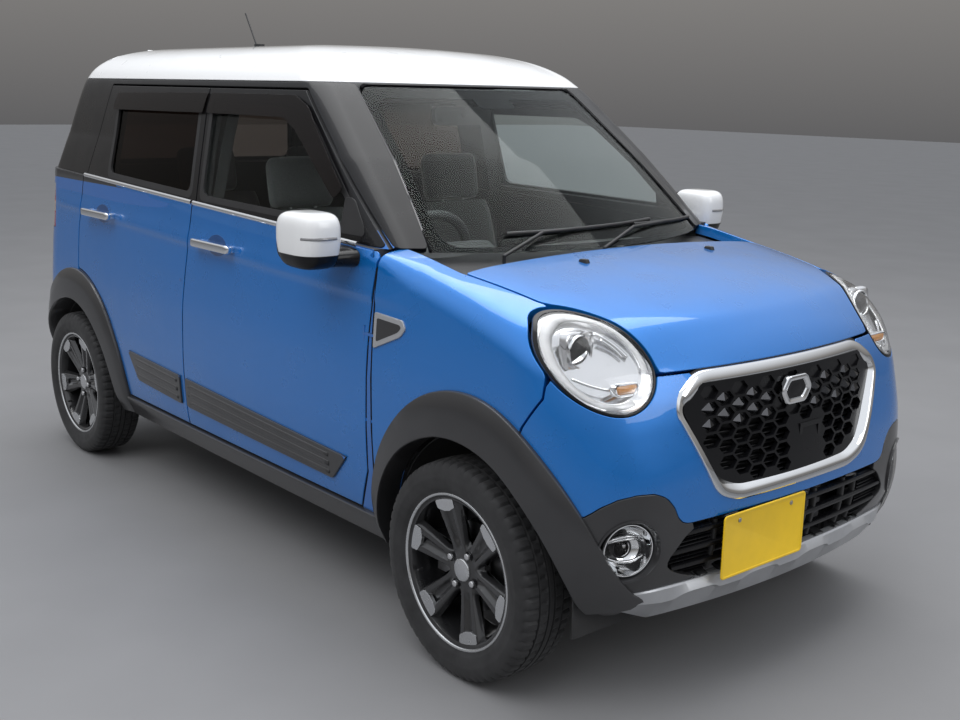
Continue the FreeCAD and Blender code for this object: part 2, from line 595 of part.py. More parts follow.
ring_cut = front_prism(shrink(GRILLE, 26.0), 1500.0, 1800.0)
nose_skin = lower_form(-7.0).cut(lower_form(34.0))
keep("grille_frame", nose_skin.common(grille_cut).cut(ring_cut).common(
    block(1500.0, 1800.0, -500.0, 500.0, 500.0, 846.0)))
mesh_skin = lower_form(8.0).cut(lower_form(24.0))
# leaning, bowed plate with six-sided cells, open below and blind above
MESH_C = V(1663.0, 0.0, 685.0)
MESH_BOW_R = 2530.0
MESH_T = 12.0
MESH_LEAN = 8.3
CELL_W = 60.0
CELL_H = 33.0
CELL_RIB = 6.0
BLIND_Z = 700.0
BLIND_DEEP = 7.0
bow_c = V(MESH_C.x - MESH_BOW_R, 0.0, MESH_C.z - 200.0)
mesh = Part.makeCylinder(MESH_BOW_R, 400.0, bow_c).cut(Part.makeCylinder(MESH_BOW_R - MESH_T, 400.0, bow_c))
mesh = mesh.common(block(1500.0, 1800.0, -430.0, 430.0, 400.0, 900.0))
mesh.rotate(MESH_C, V(0, 1, 0), -MESH_LEAN)
mesh = mesh.common(ring_cut)


def hexagon(y, z):
    w = 0.5 * CELL_W
    h = 0.5 * CELL_H
    return [(y - w, z), (y - 0.5 * w, z - h), (y + 0.5 * w, z - h), (y + w, z), (y + 0.5 * w, z + h),
            (y - 0.5 * w, z + h)]


def in_ring(points, ring):
    # every point on the inner side of every edge of the ring
    for (ya, za), (yb, zb) in zip(ring, ring[1:] + ring[:1]):
        for y, z in points:
            if (yb - ya) * (z - za) - (zb - za) * (y - ya) < 0.0:
                return False
    return True


def mesh_x(y, z):
    # front face of the plate
    flat = MESH_C.x - (z - MESH_C.z) * math.tan(math.radians(MESH_LEAN))
    return flat - y * y / (2.0 * MESH_BOW_R)


RADAR = (20.0, 112.0, 596.0, 672.0)
EMBLEM_Z = 766.0
cell_ring = shrink(GRILLE, 30.0)
if (cell_ring[1][0] - cell_ring[0][0]) * (cell_ring[2][1] - cell_ring[1][1]) - (
        cell_ring[1][1] - cell_ring[0][1]) * (cell_ring[2][0] - cell_ring[1][0]) < 0.0:
    cell_ring = list(reversed(cell_ring))
pitch_y = 0.75 * CELL_W + CELL_RIB
pitch_z = CELL_H + CELL_RIB
cells = []
for col in range(-8, 9):
    for row in range(-1, 9):
        y = col * pitch_y
        z = 560.0 + row * pitch_z + (0.5 * pitch_z if col % 2 else 0.0)
        points = hexagon(y, z)
        clear_of_radar = y < RADAR[0] - 36.0 or y > RADAR[1] + 36.0 or z < RADAR[2] - 22.0 or z > RADAR[3] + 22.0
        if in_ring(points, cell_ring) and clear_of_radar:
            front = mesh_x(y, z)
            start = front - BLIND_DEEP if z > BLIND_Z else front - 60.0
            cells.append(front_prism(points, start, front + 60.0))
mesh = mesh.cut(Part.makeCompound(cells))
pad = block(MESH_C.x - 40.0, MESH_C.x + 6.0, RADAR[0], RADAR[1], RADAR[2], RADAR[3]).cut(
    block(MESH_C.x + 2.0, MESH_C.x + 9.0, RADAR[0] + 12.0, RADAR[1] - 12.0, RADAR[2] + 12.0, RADAR[3] - 12.0))
badge_y = 46.0
badge_x = mesh_x(0.0, EMBLEM_Z)
badge = front_prism([(-badge_y, EMBLEM_Z), (-30.0, EMBLEM_Z - 27.0), (30.0, EMBLEM_Z - 27.0), (badge_y, EMBLEM_Z),
                     (30.0, EMBLEM_Z + 27.0), (-30.0, EMBLEM_Z + 27.0)], badge_x - 12.0, badge_x + 9.0)
keep("grille_mesh", biggest(fuse([mesh, pad, badge])))
bars = [mesh_skin.common(intake_cut).common(block(1500.0, 1800.0, -500.0, 500.0, z, z + 16.0))
        for z in (380.0, 425.0, 470.0)]
posts = [mesh_skin.common(intake_cut).common(block(1500.0, 1800.0, y - 9.0, y + 9.0, 340.0, 530.0))
         for y in (-300.0, -100.0, 100.0, 300.0)]
PLATE_Y = -136.0
plate = block(1690.0, 1697.5, PLATE_Y - 165.0, PLATE_Y + 165.0, 333.0, 498.0)
plate = plate.fuse(block(1655.0, 1690.5, PLATE_Y - 60.0, PLATE_Y + 60.0, 372.0, 462.0)).removeSplitter()
keep("number_plate_front", plate)
intake_grille = fuse(bars + posts).cut(block(1600.0, 1700.0, PLATE_Y - 60.0, PLATE_Y + 60.0, 372.0, 462.0))
keep("intake_grille", biggest(intake_grille))
gate_plate = block(-1674.0, -1655.0, -165.0, 165.0, 690.0, 855.0).cut(lower)
keep("number_plate_rear", biggest(gate_plate))

# Cowl and firewall
cowl = lower_form(0.0).common(top_limit(COWL_DROP).fuse(rear_room)).common(
    block(840.0, COWL_X, -PILLAR_Y, PILLAR_Y, 985.0, 1100.0)).cut(upper)
wall_cut = block(882.0, 928.0, -(715.0 - WALL), 715.0 - WALL, 250.0 + FIT, 990.0)
cowl = cowl.fuse(wall_cut.common(lower_form(FRONT_WALL))).cut(wells_right).cut(mirrored(wells_right))
keep("firewall", biggest(cowl.removeSplitter()))

# Floor
floor_half = LOWER[0][3] - WALL - FIT
RISER_X = -800.0
DECK_Z = 430.0
floor = block(RISER_X - FLOOR_T, FRONT_AXLE_X - ARCH_R, -floor_half, floor_half, FLOOR_Z, FLOOR_Z + FLOOR_T)
tunnel = block(RISER_X - 1.0, 881.0, -110.0, 110.0, FLOOR_Z + FLOOR_T - 1.0, FLOOR_Z + FLOOR_T + 60.0)
riser = block(RISER_X - FLOOR_T, RISER_X, -520.0, 520.0, FLOOR_Z, DECK_Z)
deck = block(-1560.0, RISER_X - 1.0, -520.0, 520.0, DECK_Z - 35.0, DECK_Z)
floor = fuse([floor, tunnel, riser, deck])
keep("floor_pan", biggest(floor.cut(PIECES["side_frame_right"]).cut(PIECES["side_frame_left"])))

# Wheel-house liners: shells closed at their inner ends, open at the arch and below
LINER = 4.0
liners = []
for axle, inner_y in ((FRONT_AXLE_X, FRONT_WELL_Y), (REAR_AXLE_X, REAR_WELL_Y)):
    shell = arch(axle, ARCH_R, -640.0, -inner_y).cut(arch(axle, ARCH_R - LINER, -1000.0, -inner_y - LINER))
    shell = shell.common(block(-1800.0, 1800.0, -1000.0, 0.0, FLOOR_Z, 700.0))
    if axle == REAR_AXLE_X:
        shell = shell.cut(rod((axle, -700.0, TYRE_R), (0, 1, 0), HUB_R + 12.0, 300.0))
    liners.append(shell)
pair("wheel_liners", liners)

# Flares and sill garnish in one piece per side


def flare_body(axle_x):
    ring = flare_disc(axle_x, 0.0, -FLARE_Y, -FLARE_IN_Y)
    mid = axle_x + FLARE_SHIFT
    down = block(mid - FLARE_A, mid + FLARE_A, -FLARE_Y, -FLARE_IN_Y, SILL_Z, TYRE_R)
    return ring.common(block(-2000.0, 2000.0, -800.0, -600.0, SILL_Z, 800.0)).fuse(down)


flares = []
for axle in (FRONT_AXLE_X, REAR_AXLE_X):
    ring = flare_body(axle).cut(arch(axle, ARCH_R, -1000.0, -500.0)).cut(lower).cut(
        side_prism(grow(FRONT_DOOR, 2.0 * SHUT), -1000.0, -600.0))
    # the flares' outer legs stop where the bumpers turn under
    ring = ring.cut(block(FRONT_AXLE_X + 300.0, 1800.0, -1000.0, -500.0, 0.0, FLARE_FOOT))
    ring = ring.cut(block(-1800.0, REAR_AXLE_X - 300.0, -1000.0, -500.0, 0.0, FLARE_FOOT))
    ring = ring.cut(Part.makeCylinder(FOG_R + 10.0, 300.0, FOG_C - FOG_DIR * 90.0, FOG_DIR))
    flares.append(ring.common(lower_form(-32.0)))
pair("arch_flares", flares)
sill = lower_form(-14.0).cut(lower_form(0.0)).common(
    block(REAR_AXLE_X + FLARE_SHIFT + FLARE_A, FRONT_AXLE_X + FLARE_SHIFT - FLARE_A, -800.0, -600.0,
          SILL_Z, SEAM_Z - SHUT))
pair("sill_garnishes", [sill])

# Mirrors
MIRROR = [(560.0, -752.0), (600.0, -860.0), (700.0, -872.0), (745.0, -840.0), (700.0, -742.0)]
mirror_head = plan_prism(MIRROR, 1010.0, 1165.0)
mirror_head = mirror_head.makeFillet(24.0, mirror_head.Edges)
stalk = plan_prism([(610.0, -690.0), (690.0, -690.0), (690.0, -770.0), (620.0, -770.0)], 1012.0, 1060.0)
mirror = mirror_head.fuse(stalk).cut(lower_form(0.0)).removeSplitter()
mirror = max(mirror.Solids, key=lambda s: s.Volume)
both("mirror", mirror)

# Wheels


def turned(profile, axle_x, y_sign):
    # profile is a list of (radius, offset); offset is outward from the wheel's centre plane
    centre = TRACK / 2.0
    pts = [V(axle_x + r, y_sign * (centre + o), TYRE_R) for r, o in profile]
    return face_of(pts).revolve(V(axle_x, 0, TYRE_R), V(0, 1, 0), 360.0)


HALF_W = TYRE_W / 2.0
TYRE_PROFILE = [(RIM_SEAT_R + 2.0, -66.0), (RIM_R + 6.0, -70.0), (240.0, -HALF_W + 1.0), (262.0, -HALF_W),
                (281.0, -68.0), (TYRE_R - 1.5, -48.0), (TYRE_R, 0.0), (TYRE_R - 1.5, 48.0), (281.0, 68.0),
                (262.0, HALF_W), (240.0, HALF_W - 1.0), (RIM_R + 6.0, 70.0), (RIM_SEAT_R + 2.0, 66.0)]
RIM_PROFILE = [(RIM_SEAT_R + 2.0, -66.0), (RIM_R, -72.0), (RIM_R, -77.0), (RIM_SEAT_R - RIM_WALL, -70.0),
               (RIM_SEAT_R - RIM_WALL - 8.0, 0.0), (RIM_SEAT_R - RIM_WALL, 62.0), (RIM_R - 6.0, 67.0),
               (RIM_R, 72.0), (RIM_SEAT_R + 2.0, 66.0)]
DISH = 40.0


def plan_groove(centre):
    # tapered slot that parts a spoke into two ridges
    slot = [V(70.0, 0, -4.0), V(150.0, 0, -13.0), V(166.0, 0, -8.0), V(166.0, 0, 8.0), V(150.0, 0, 13.0),
            V(70.0, 0, 4.0)]
    slot = face_of([V(p.x, centre + 24.0, p.z) for p in slot])
    return slot.extrude(V(0, 60.0, 0))


def wheel(axle_x, y_sign):
    tyre = turned(TYRE_PROFILE, axle_x, y_sign)
    barrel = turned(RIM_PROFILE, axle_x, y_sign)
    centre = TRACK / 2.0
    hub = turned([(HUB_R + RUN_CLEAR, 8.0), (72.0, 8.0), (72.0, 36.0), (58.0, DISH + 6.0),
                  (HUB_R + RUN_CLEAR, DISH + 6.0)], axle_x, y_sign)
    spokes = []
    for k in range(SPOKES):
        spoke = Part.Face(Part.makePolygon([
            V(52.0, centre + 12.0, -25.0), V(52.0, centre + 12.0, 25.0),
            V(186.0, centre + 34.0, 34.0), V(186.0, centre + 34.0, -34.0),
            V(52.0, centre + 12.0, -25.0)])).extrude(V(0, 24.0, 0))
        groove = plan_groove(centre)
        spoke = spoke.cut(groove)
        if y_sign < 0:
            spoke = mirrored(spoke)
        spoke.rotate(V(0, 0, 0), V(0, 1, 0), 360.0 / SPOKES * k + 30.0)
        spoke.translate(V(axle_x, 0, TYRE_R))
        spokes.append(spoke)
    rim = fuse([barrel, hub] + spokes)
    return tyre, rim


SPOTS = [("front_right", FRONT_AXLE_X, -1.0), ("front_left", FRONT_AXLE_X, 1.0),
         ("rear_right", REAR_AXLE_X, -1.0), ("rear_left", REAR_AXLE_X, 1.0)]
for spot, axle, sign in SPOTS:
    tyre, rim = wheel(axle, sign)
    keep("tyre_" + spot, tyre)
    keep("rim_" + spot, rim)

# Knuckles with hub spindle, disc and caliper
HUB_IN = TRACK / 2.0 - 60.0
spindle = rod((FRONT_AXLE_X, -(TRACK / 2.0 + DISH - 4.0), TYRE_R), (0, 1, 0), HUB_R, DISH - 4.0 + 70.0)
disc = rod((FRONT_AXLE_X, -(TRACK / 2.0 - 2.0), TYRE_R), (0, 1, 0), DISC_R, DISC_T)
KNUCKLE_LOW = 190.0
upright = block(FRONT_AXLE_X - 45.0, FRONT_AXLE_X + 45.0, -(TRACK / 2.0 - 16.0), -575.0, KNUCKLE_LOW, 400.0)
caliper = block(FRONT_AXLE_X - 150.0, FRONT_AXLE_X - 85.0, -(TRACK / 2.0 + 4.0), -575.0, 235.0, 345.0)
bridge = block(FRONT_AXLE_X - 90.0, FRONT_AXLE_X - 40.0, -(TRACK / 2.0 - 16.0), -575.0, 270.0, 310.0)
knuckle = fuse([spindle, disc, upright, caliper, bridge])
knuckle = knuckle.cut(rod((FRONT_AXLE_X, -KINGPIN_Y, KNUCKLE_LOW - 1.0), (0, 0, 1), KINGPIN_R + RUN_CLEAR,
                          KINGPIN_UP + 3.0))
both("knuckle_front", knuckle)

# Rear twist beam with spindles
beam = block(REAR_AXLE_X + 150.0, REAR_AXLE_X + 220.0, -520.0, 520.0, 245.0, 310.0)
rear_parts = [beam]
for sign in (-1.0, 1.0):
    ya = sign * 470.0
    yb = sign * 520.0
    rear_parts.append(block(REAR_AXLE_X - 45.0, RISER_X - FLOOR_T - FIT, min(ya, yb), max(ya, yb), 262.0, 316.0))
    rear_parts.append(rod((REAR_AXLE_X, sign * 480.0, TYRE_R), (0, sign, 0), HUB_R,
                          TRACK / 2.0 + DISH - 4.0 - 480.0))
    rear_parts.append(rod((REAR_AXLE_X, sign * 560.0, TYRE_R), (0, sign, 0), 95.0, 80.0))
keep("rear_axle", fuse(rear_parts))

# Front subframe with lower arms, engine block
ARM_TOP = KNUCKLE_LOW - FIT
cross = block(FRONT_AXLE_X - 190.0, FRONT_AXLE_X - 90.0, -370.0, 370.0, 195.0, 250.0)
arms = []
for sign in (-1.0, 1.0):
    arm = plan_prism([(FRONT_AXLE_X - 190.0, sign * 340.0), (FRONT_AXLE_X - 110.0, sign * 340.0),
                      (FRONT_AXLE_X + 28.0, sign * 590.0), (FRONT_AXLE_X - 28.0, sign * 600.0)],
                     ARM_TOP - 22.0, ARM_TOP)
    arms.append(arm)
    arms.append(rod((FRONT_AXLE_X, sign * KINGPIN_Y, ARM_TOP - 22.0), (0, 0, 1), 20.0, 22.0))
    arms.append(rod((FRONT_AXLE_X, sign * KINGPIN_Y, ARM_TOP - 1.0), (0, 0, 1), KINGPIN_R, KINGPIN_UP + 1.0))
    arms.append(block(FRONT_AXLE_X - 190.0, FRONT_AXLE_X - 110.0, min(sign * 340.0, sign * 370.0),
                      max(sign * 340.0, sign * 370.0), ARM_TOP - 22.0, 200.0))
rails = [block(FRONT_AXLE_X - ARCH_R + FIT, FRONT_AXLE_X - 90.0, sign * 330.0 - 30.0, sign * 330.0 + 30.0,
               215.0, 250.0) for sign in (-1.0, 1.0)]
TOW_Y = 200.0
TOW_Z = 410.0
TOW_R = 9.0
TOW_LONG = 60.0
BEAM_X = 1525.0
beam_front = block(BEAM_X, BEAM_X + 40.0, -380.0, 380.0, TOW_Z - 45.0, TOW_Z + 45.0)
members = [block(1090.0, BEAM_X + 1.0, sign * 372.0 - 8.0, sign * 372.0 + 8.0, 200.0, TOW_Z + 45.0)
           for sign in (-1.0, 1.0)]
boss = block(BEAM_X - 25.0, BEAM_X + 45.0, TOW_Y - 22.0, TOW_Y + 22.0, TOW_Z - 22.0, TOW_Z + 22.0)
frame_front = fuse([cross] + arms + rails + members + [beam_front, boss])
frame_front = frame_front.cut(rod((BEAM_X + 45.0, TOW_Y, TOW_Z), (-1, 0, 0), TOW_R, TOW_LONG))
keep("front_subframe", frame_front)
keep("engine_block", block(990.0, 1500.0, -360.0, 360.0, 250.0, 820.0))

# Interior
dash = side_prism([(640.0, 880.0), (660.0, 700.0), (882.0 - FIT, 640.0), (882.0 - FIT, 984.0),
                   (840.0 - FIT, 984.0), (840.0 - FIT, 1014.0), (760.0, 1020.0),
                   (660.0, 990.0)], -PILLAR_Y, PILLAR_Y)
keep("dashboard", dash)
SEAT_BACK = [(-110.0, 560.0), (40.0, 560.0), (-110.0, 1120.0), (-220.0, 1120.0)]


def seat(x, y, half, height):
    cushion = block(x - 40.0, x + 460.0, y - half, y + half, FLOOR_Z + FLOOR_T + 60.0, height)
    back = side_prism([(x - 40.0, height - 120.0), (x + 90.0, height - 120.0), (x - 75.0, height + 470.0),
                       (x - 190.0, height + 470.0)], y - half + 10.0, y + half - 10.0)
    rest = side_prism([(x - 185.0, height + 469.0), (x - 95.0, height + 469.0), (x - 125.0, height + 660.0),
                       (x - 205.0, height + 650.0)], y - 125.0, y + 125.0)
    base = block(x + 20.0, x + 420.0, y - half + 40.0, y + half - 40.0, FLOOR_Z + FLOOR_T,
                 FLOOR_Z + FLOOR_T + 61.0)
    return fuse([cushion, back, rest, base])


SEAT_Y = 330.0
pair("seats_front", [seat(-60.0, -SEAT_Y, 205.0, 600.0)])
bench = fuse([block(-914.0, -450.0, -500.0, 500.0, DECK_Z + FIT, 590.0),
              block(RISER_X + 10.0, -470.0, -480.0, 480.0, FLOOR_Z + FLOOR_T + 60.0 + FIT, DECK_Z + 1.0),
              side_prism([(-914.0, 500.0), (-780.0, 500.0), (-940.0, 1080.0), (-1040.0, 1080.0)],
                         -500.0, 500.0)])
keep("seat_rear", bench)
WHEEL_C = V(500.0, -SEAT_Y, 960.0)
COLUMN_DIR = V(0.90, 0.0, -0.43)
COLUMN_DIR.normalize()
HOOP_R = 180.0
GRIP_R = 15.0
grip = [V(HOOP_R + GRIP_R * math.cos(math.pi * k / 4.0), 0.0, GRIP_R * math.sin(math.pi * k / 4.0)) for k in range(8)]
hoop = face_of(grip).revolve(V(0, 0, 0), V(0, 0, 1), 360.0)
hoop.Placement = FreeCAD.Placement(WHEEL_C, FreeCAD.Rotation(V(0, 0, 1), COLUMN_DIR))
boss = Part.makeCylinder(62.0, 40.0, WHEEL_C - COLUMN_DIR * 12.0, COLUMN_DIR)
bar = Part.makeBox(24.0, 350.0, 16.0, V(-12.0, -175.0, -8.0))
bar.rotate(V(0, 0, 0), V(0, 1, 0), 64.5)
bar.translate(WHEEL_C)
shaft = Part.makeCylinder(26.0, 230.0, WHEEL_C, COLUMN_DIR)
steering = fuse([hoop, boss, bar, shaft]).cut(dash)
keep("steering_wheel", max(steering.Solids, key=lambda s: s.Volume))

# Wipers: a spindle in the cowl, a cranked arm, and a blade that follows the lower screen
WIPER_R = 6.0
SCREEN_SLANT = math.atan2(UPPER[0][1] - UPPER[1][1], UPPER[1][0] - UPPER[0][0])
BLADE_OFF = WIPER_R + FIT - GLASS_SET * math.cos(SCREEN_SLANT)
# spindle x and y, elbow y and z, blade y and z at both ends
WIPERS = [((985.0, -404.0), (-230.0, 1092.0), (-330.0, 1100.0), (250.0, 1112.0)),
          ((1005.0, -36.0), (120.0, 1090.0), (150.0, 1104.0), (545.0, 1096.0))]


def row_x(row, y):
    # nose arc of one outline of the glasshouse
    ya = row[6] * row[3]
    radius = (ya * ya + row[4] * row[4]) / (2.0 * row[4])
    return row[1] - radius + math.sqrt(radius * radius - y * y)


def on_screen(y, z, off):
    low = row_x(UPPER[0], y)
    high = row_x(UPPER[1], y)
    low_z = BELT_Z + BELT_SLOPE * low
    x = low + (high - low) * (z - low_z) / (UPPER[1][0] - low_z)
    return V(x + off * math.cos(SCREEN_SLANT), y, z + off * math.sin(SCREEN_SLANT))


def chain(points, radius):
    links = []
    for p, q in zip(points, points[1:]):
        links.append(Part.makeCylinder(radius, (q - p).Length, p, q - p))
    for p in points[1:-1]:
        links.append(Part.makeSphere(radius + 0.6, p))
    return fuse(links)


wipers = []
for (px, py), (ey, ez), (y0, z0), (y1, z1) in WIPERS:
    blade = [on_screen(y0 + (y1 - y0) * k / 6.0, z0 + (z1 - z0) * k / 6.0, BLADE_OFF) for k in range(7)]
    arm = [V(px, py, 1010.0), V(px, py, 1054.0), on_screen(ey, ez, BLADE_OFF + 14.0), blade[3]]
    wiper = fuse([chain(blade, WIPER_R), chain(arm, WIPER_R - 1.0)])
    wipers.append(wiper.cut(screen).cut(PIECES["firewall"]))
keep("wipers", Part.makeCompound([biggest(w) for w in wipers]))

# Antenna and mast base on the roof
ANT = V(-900.0, -60.0, 1612.0)
mast = Part.makeCylinder(3.0, 190.0, ANT, V(-0.55, 0.0, 0.83))
base = Part.makeCylinder(20.0, 60.0, V(ANT.x, ANT.y, 1590.0), V(0, 0, 1))
antenna = fuse([mast, base]).cut(upper)
keep("antenna", max(antenna.Solids, key=lambda s: s.Volume))

for name, shape in sorted(PIECES.items()):
    solids = shape.Solids
    shape.exportStep(os.path.join(OUT, name + ".step"))
    box = shape.optimalBoundingBox(False)
    print("%-22s solids %d valid %s  x %7.1f %7.1f  y %7.1f %7.1f  z %7.1f %7.1f  vol %.5f" % (
        name, len(solids), shape.isValid(), box.XMin, box.XMax, box.YMin, box.YMax, box.ZMin, box.ZMax,
        shape.Volume / 1e9))
print(len(PIECES), "pieces")
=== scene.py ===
"""Small five-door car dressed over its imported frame.

Metres. +X to the nose, +Y to the car's left, +Z up, origin on the ground below mid-length.
The outer panels are cut from two smooth body forms whose section tables are the part's own.
"""
import math

import bmesh
import bpy
import numpy as np
from mathutils import Matrix, Vector


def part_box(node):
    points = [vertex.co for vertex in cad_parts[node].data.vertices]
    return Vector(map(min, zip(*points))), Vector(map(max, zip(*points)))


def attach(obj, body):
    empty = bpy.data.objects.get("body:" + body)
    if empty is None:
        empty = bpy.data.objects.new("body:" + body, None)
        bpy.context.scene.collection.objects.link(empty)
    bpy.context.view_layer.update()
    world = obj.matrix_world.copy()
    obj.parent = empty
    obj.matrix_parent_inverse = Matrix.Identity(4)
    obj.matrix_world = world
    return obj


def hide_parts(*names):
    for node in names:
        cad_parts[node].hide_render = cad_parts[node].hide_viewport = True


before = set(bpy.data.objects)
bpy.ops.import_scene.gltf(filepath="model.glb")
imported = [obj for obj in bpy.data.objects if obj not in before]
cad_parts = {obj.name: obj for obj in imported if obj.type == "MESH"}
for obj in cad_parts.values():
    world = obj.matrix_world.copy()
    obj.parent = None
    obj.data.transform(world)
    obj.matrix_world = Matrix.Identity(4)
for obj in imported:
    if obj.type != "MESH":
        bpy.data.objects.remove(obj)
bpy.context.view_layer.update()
MM = 0.001

# ---------------------------------------------------------------- sizes
AXLE_F, AXLE_R = 1.1815, -1.2735
WHEEL_Y = 0.650
TYRE_R = 0.290
SILL_Z = 0.250
SEAM_Z = 0.330        # foot of the doors
RAIL_Z = 1.500        # foot of the roof skin
BELT_Z, BELT_SLOPE = 1.094, -0.034
ARCH_R = 0.350
ARCH_GAP = 0.004      # panel edge outside the arch
FLARE_SHIFT, FLARE_A, FLARE_B = 0.022, 0.417, 0.474   # outer edge of a flare: an ellipse ahead of the axle
FLANK_Y = 0.300       # panels of the right side lie beyond this
BUMPER_TOP = 0.594
BONNET_FOOT = 0.850
LAMP_LOW, LAMP_HIGH = 0.905, 1.085                    # tail lamps
GATE_X = -1.300       # the tailgate's upper part lies behind this
SCREEN_X = 0.200      # the windscreen lies ahead of this
SHUT = 0.006          # gap between panels
BELT_GAP = 0.003      # lower skins end this far below the waist line
WAIST_GAP = 0.001     # upper skins start this far above it
EDGE_R = 0.0022       # rolled edge of a panel
SKIN_OFF = 0.0010     # paint skin over the solid
CELL = 0.010          # size of a mesh cell on the body

# z, nose x, tail x, half width, nose bow, nose corner depth, tail bow, tail corner depth (mm)
LOWER = np.array([
    (200, 1580, -1590, 635, 42, 300, 26, 200),
    (250, 1615, -1625, 655, 40, 300, 25, 200),
    (330, 1668, -1680, 690, 36, 300, 22, 200),
    (460, 1690, -1697.5, 708, 32, 300, 20, 200),
    (580, 1686, -1690, 716, 36, 300, 20, 200),
    (720, 1668, -1662, 718, 50, 290, 22, 190),
    (850, 1640, -1648, 712, 70, 270, 24, 180),
    (950, 1590, -1638, 704, 80, 250, 26, 170),
    (1094, 1480, -1625, 692, 80, 230, 28, 160),
    (1200, 1395, -1612, 684, 80, 220, 28, 160)]) * MM
# z, front x, rear x, half width, front bow, front corner depth, corner share (x 1000), rear bow,
# rear corner depth (mm)
UPPER = np.array([
    (1094, 1005, -1618, 676, 180, 270, 880, 26, 130),
    (1290, 720, -1570, 634, 145, 225, 880, 26, 130),
    (1500, 402, -1492, 580, 90, 165, 870, 26, 130),
    (1548, 330, -1462, 548, 90, 165, 860, 30, 130),
    (1592, 215, -1400, 480, 90, 160, 850, 40, 130),
    (1618, 60, -1290, 370, 80, 150, 840, 50, 130),
    (1629, -120, -1120, 210, 60, 110, 800, 50, 100),
    (1630, -480, -720, 60, 20, 50, 800, 20, 50)]) * MM
# bonnet and wing tops: x, crown z, z at the seam, z at the shoulder (mm)
TOPS = np.array([
    (-1900, 1158, 1158, 1158), (500, 1077, 1077, 1077), (700, 1082, 1073, 1066), (780, 1090, 1074, 1056),
    (1050, 1062, 1040, 1003), (1250, 1038, 1006, 955), (1450, 988, 952, 895), (1580, 918, 885, 835),
    (1660, 848, 815, 770), (1760, 740, 710, 670)]) * MM


def spline_rows(keys, rows, at):
    """Monotone cubic through the rows of a table, for many heights at once."""
    h = np.diff(keys)
    slope = np.diff(rows, axis=0) / h[:, None]
    tangent = np.zeros_like(rows)
    tangent[0], tangent[-1] = slope[0], slope[-1]
    same = slope[:-1] * slope[1:] > 0
    w1 = (2 * h[1:] + h[:-1])[:, None]
    w2 = (h[1:] + 2 * h[:-1])[:, None]
    with np.errstate(divide="ignore", invalid="ignore"):
        mean = (w1 + w2) / (w1 / slope[:-1] + w2 / slope[1:])
    tangent[1:-1] = np.where(same, mean, 0.0)
    at = np.clip(at, keys[0], keys[-1])
    k = np.clip(np.searchsorted(keys, at, side="right") - 1, 0, len(keys) - 2)
    u = ((at - keys[k]) / h[k])[:, None]
    hk = h[k][:, None]
    return ((1 + 2 * u) * (1 - u) ** 2 * rows[k] + u * (1 - u) ** 2 * hk * tangent[k]
            + u * u * (3 - 2 * u) * rows[k + 1] + u * u * (u - 1) * hk * tangent[k + 1])


def arc(p, q, r, u):
    """Points of the circle through p, q, r, at shares u of its sweep from p to r."""
    (ax, ay), (bx, by), (cx, cy) = p, q, r
    a2, b2, c2 = ax * ax + ay * ay, bx * bx + by * by, cx * cx + cy * cy
    d = 2 * (ax * (by - cy) + bx * (cy - ay) + cx * (ay - by))
    ux = (a2 * (by - cy) + b2 * (cy - ay) + c2 * (ay - by)) / d
    uy = (a2 * (cx - bx) + b2 * (ax - cx) + c2 * (bx - ax)) / d
    radius = np.hypot(ax - ux, ay - uy)
    a0, a1 = np.arctan2(ay - uy, ax - ux), np.arctan2(cy - uy, cx - ux)
    a = a0 + np.arctan2(np.sin(a1 - a0), np.cos(a1 - a0)) * u
    return np.stack([ux + radius * np.cos(a), uy + radius * np.sin(a)], -1)


def plan_outline(nose, tail, half, bow, depth, share, tbow, tdepth, count=(40, 60, 120, 50, 40)):
    """Half outline, nose centre to tail centre, as five arcs laid end to end, y positive."""
    ya, yb, yr = share * half, 0.985 * half, 0.80 * half
    a, b = (nose - bow, ya), (nose - depth, yb)
    c = (a[0] - 0.30 * (a[0] - b[0]), ya + 0.70 * (yb - ya))
    g, d = (tail + tbow, yr), (tail + tdepth, yb)
    e = (g[0] + 0.30 * (d[0] - g[0]), yr + 0.70 * (yb - yr))
    mid = (0.5 * (b[0] + d[0]), half)
    n = [np.linspace(0, 1, k, endpoint=False) for k in count]
    runs = [arc((a[0], -ya), (nose, 0.0), a, 0.5 + 0.5 * n[0]), arc(a, c, b, n[1]), arc(b, mid, d, n[2]),
            arc(d, e, g, n[3]), arc(g, (tail, 0.0), (g[0], -yr), 0.5 * np.linspace(0, 1, count[4]))]
    return np.concatenate(runs)


def blur(values, width):
    """Gaussian blur along axis 0 with the ends mirrored."""
    k = np.arange(-3 * width, 3 * width + 1)
    w = np.exp(-0.5 * (k / width) ** 2)
    w /= w.sum()
    pad_ = np.concatenate([values[1:3 * width + 1][::-1], values, values[-3 * width - 1:-1][::-1]])
    return np.stack([np.convolve(pad_[:, c], w, mode="valid") for c in range(values.shape[1])], 1)


class Table:
    """Bicubic look-up in a regular grid of values."""

    def __init__(self, u0, du, v0, dv, values):
        self.u0, self.du, self.v0, self.dv, self.values = u0, du, v0, dv, values

    def __call__(self, u, v):
        g = self.values
        fu = np.clip((u - self.u0) / self.du, 1.0, g.shape[0] - 2.001)
        fv = np.clip((v - self.v0) / self.dv, 1.0, g.shape[1] - 2.001)
        iu, iv = fu.astype(int), fv.astype(int)

        def weights(t):
            return (-0.5 * t + t * t - 0.5 * t ** 3, 1 - 2.5 * t * t + 1.5 * t ** 3,
                    0.5 * t + 2 * t * t - 1.5 * t ** 3, -0.5 * t * t + 0.5 * t ** 3)
        wu, wv = weights(fu - iu), weights(fv - iv)
        return sum(wu[i] * sum(wv[j] * g[iu + i - 1, iv + j - 1] for j in range(4)) for i in range(4))


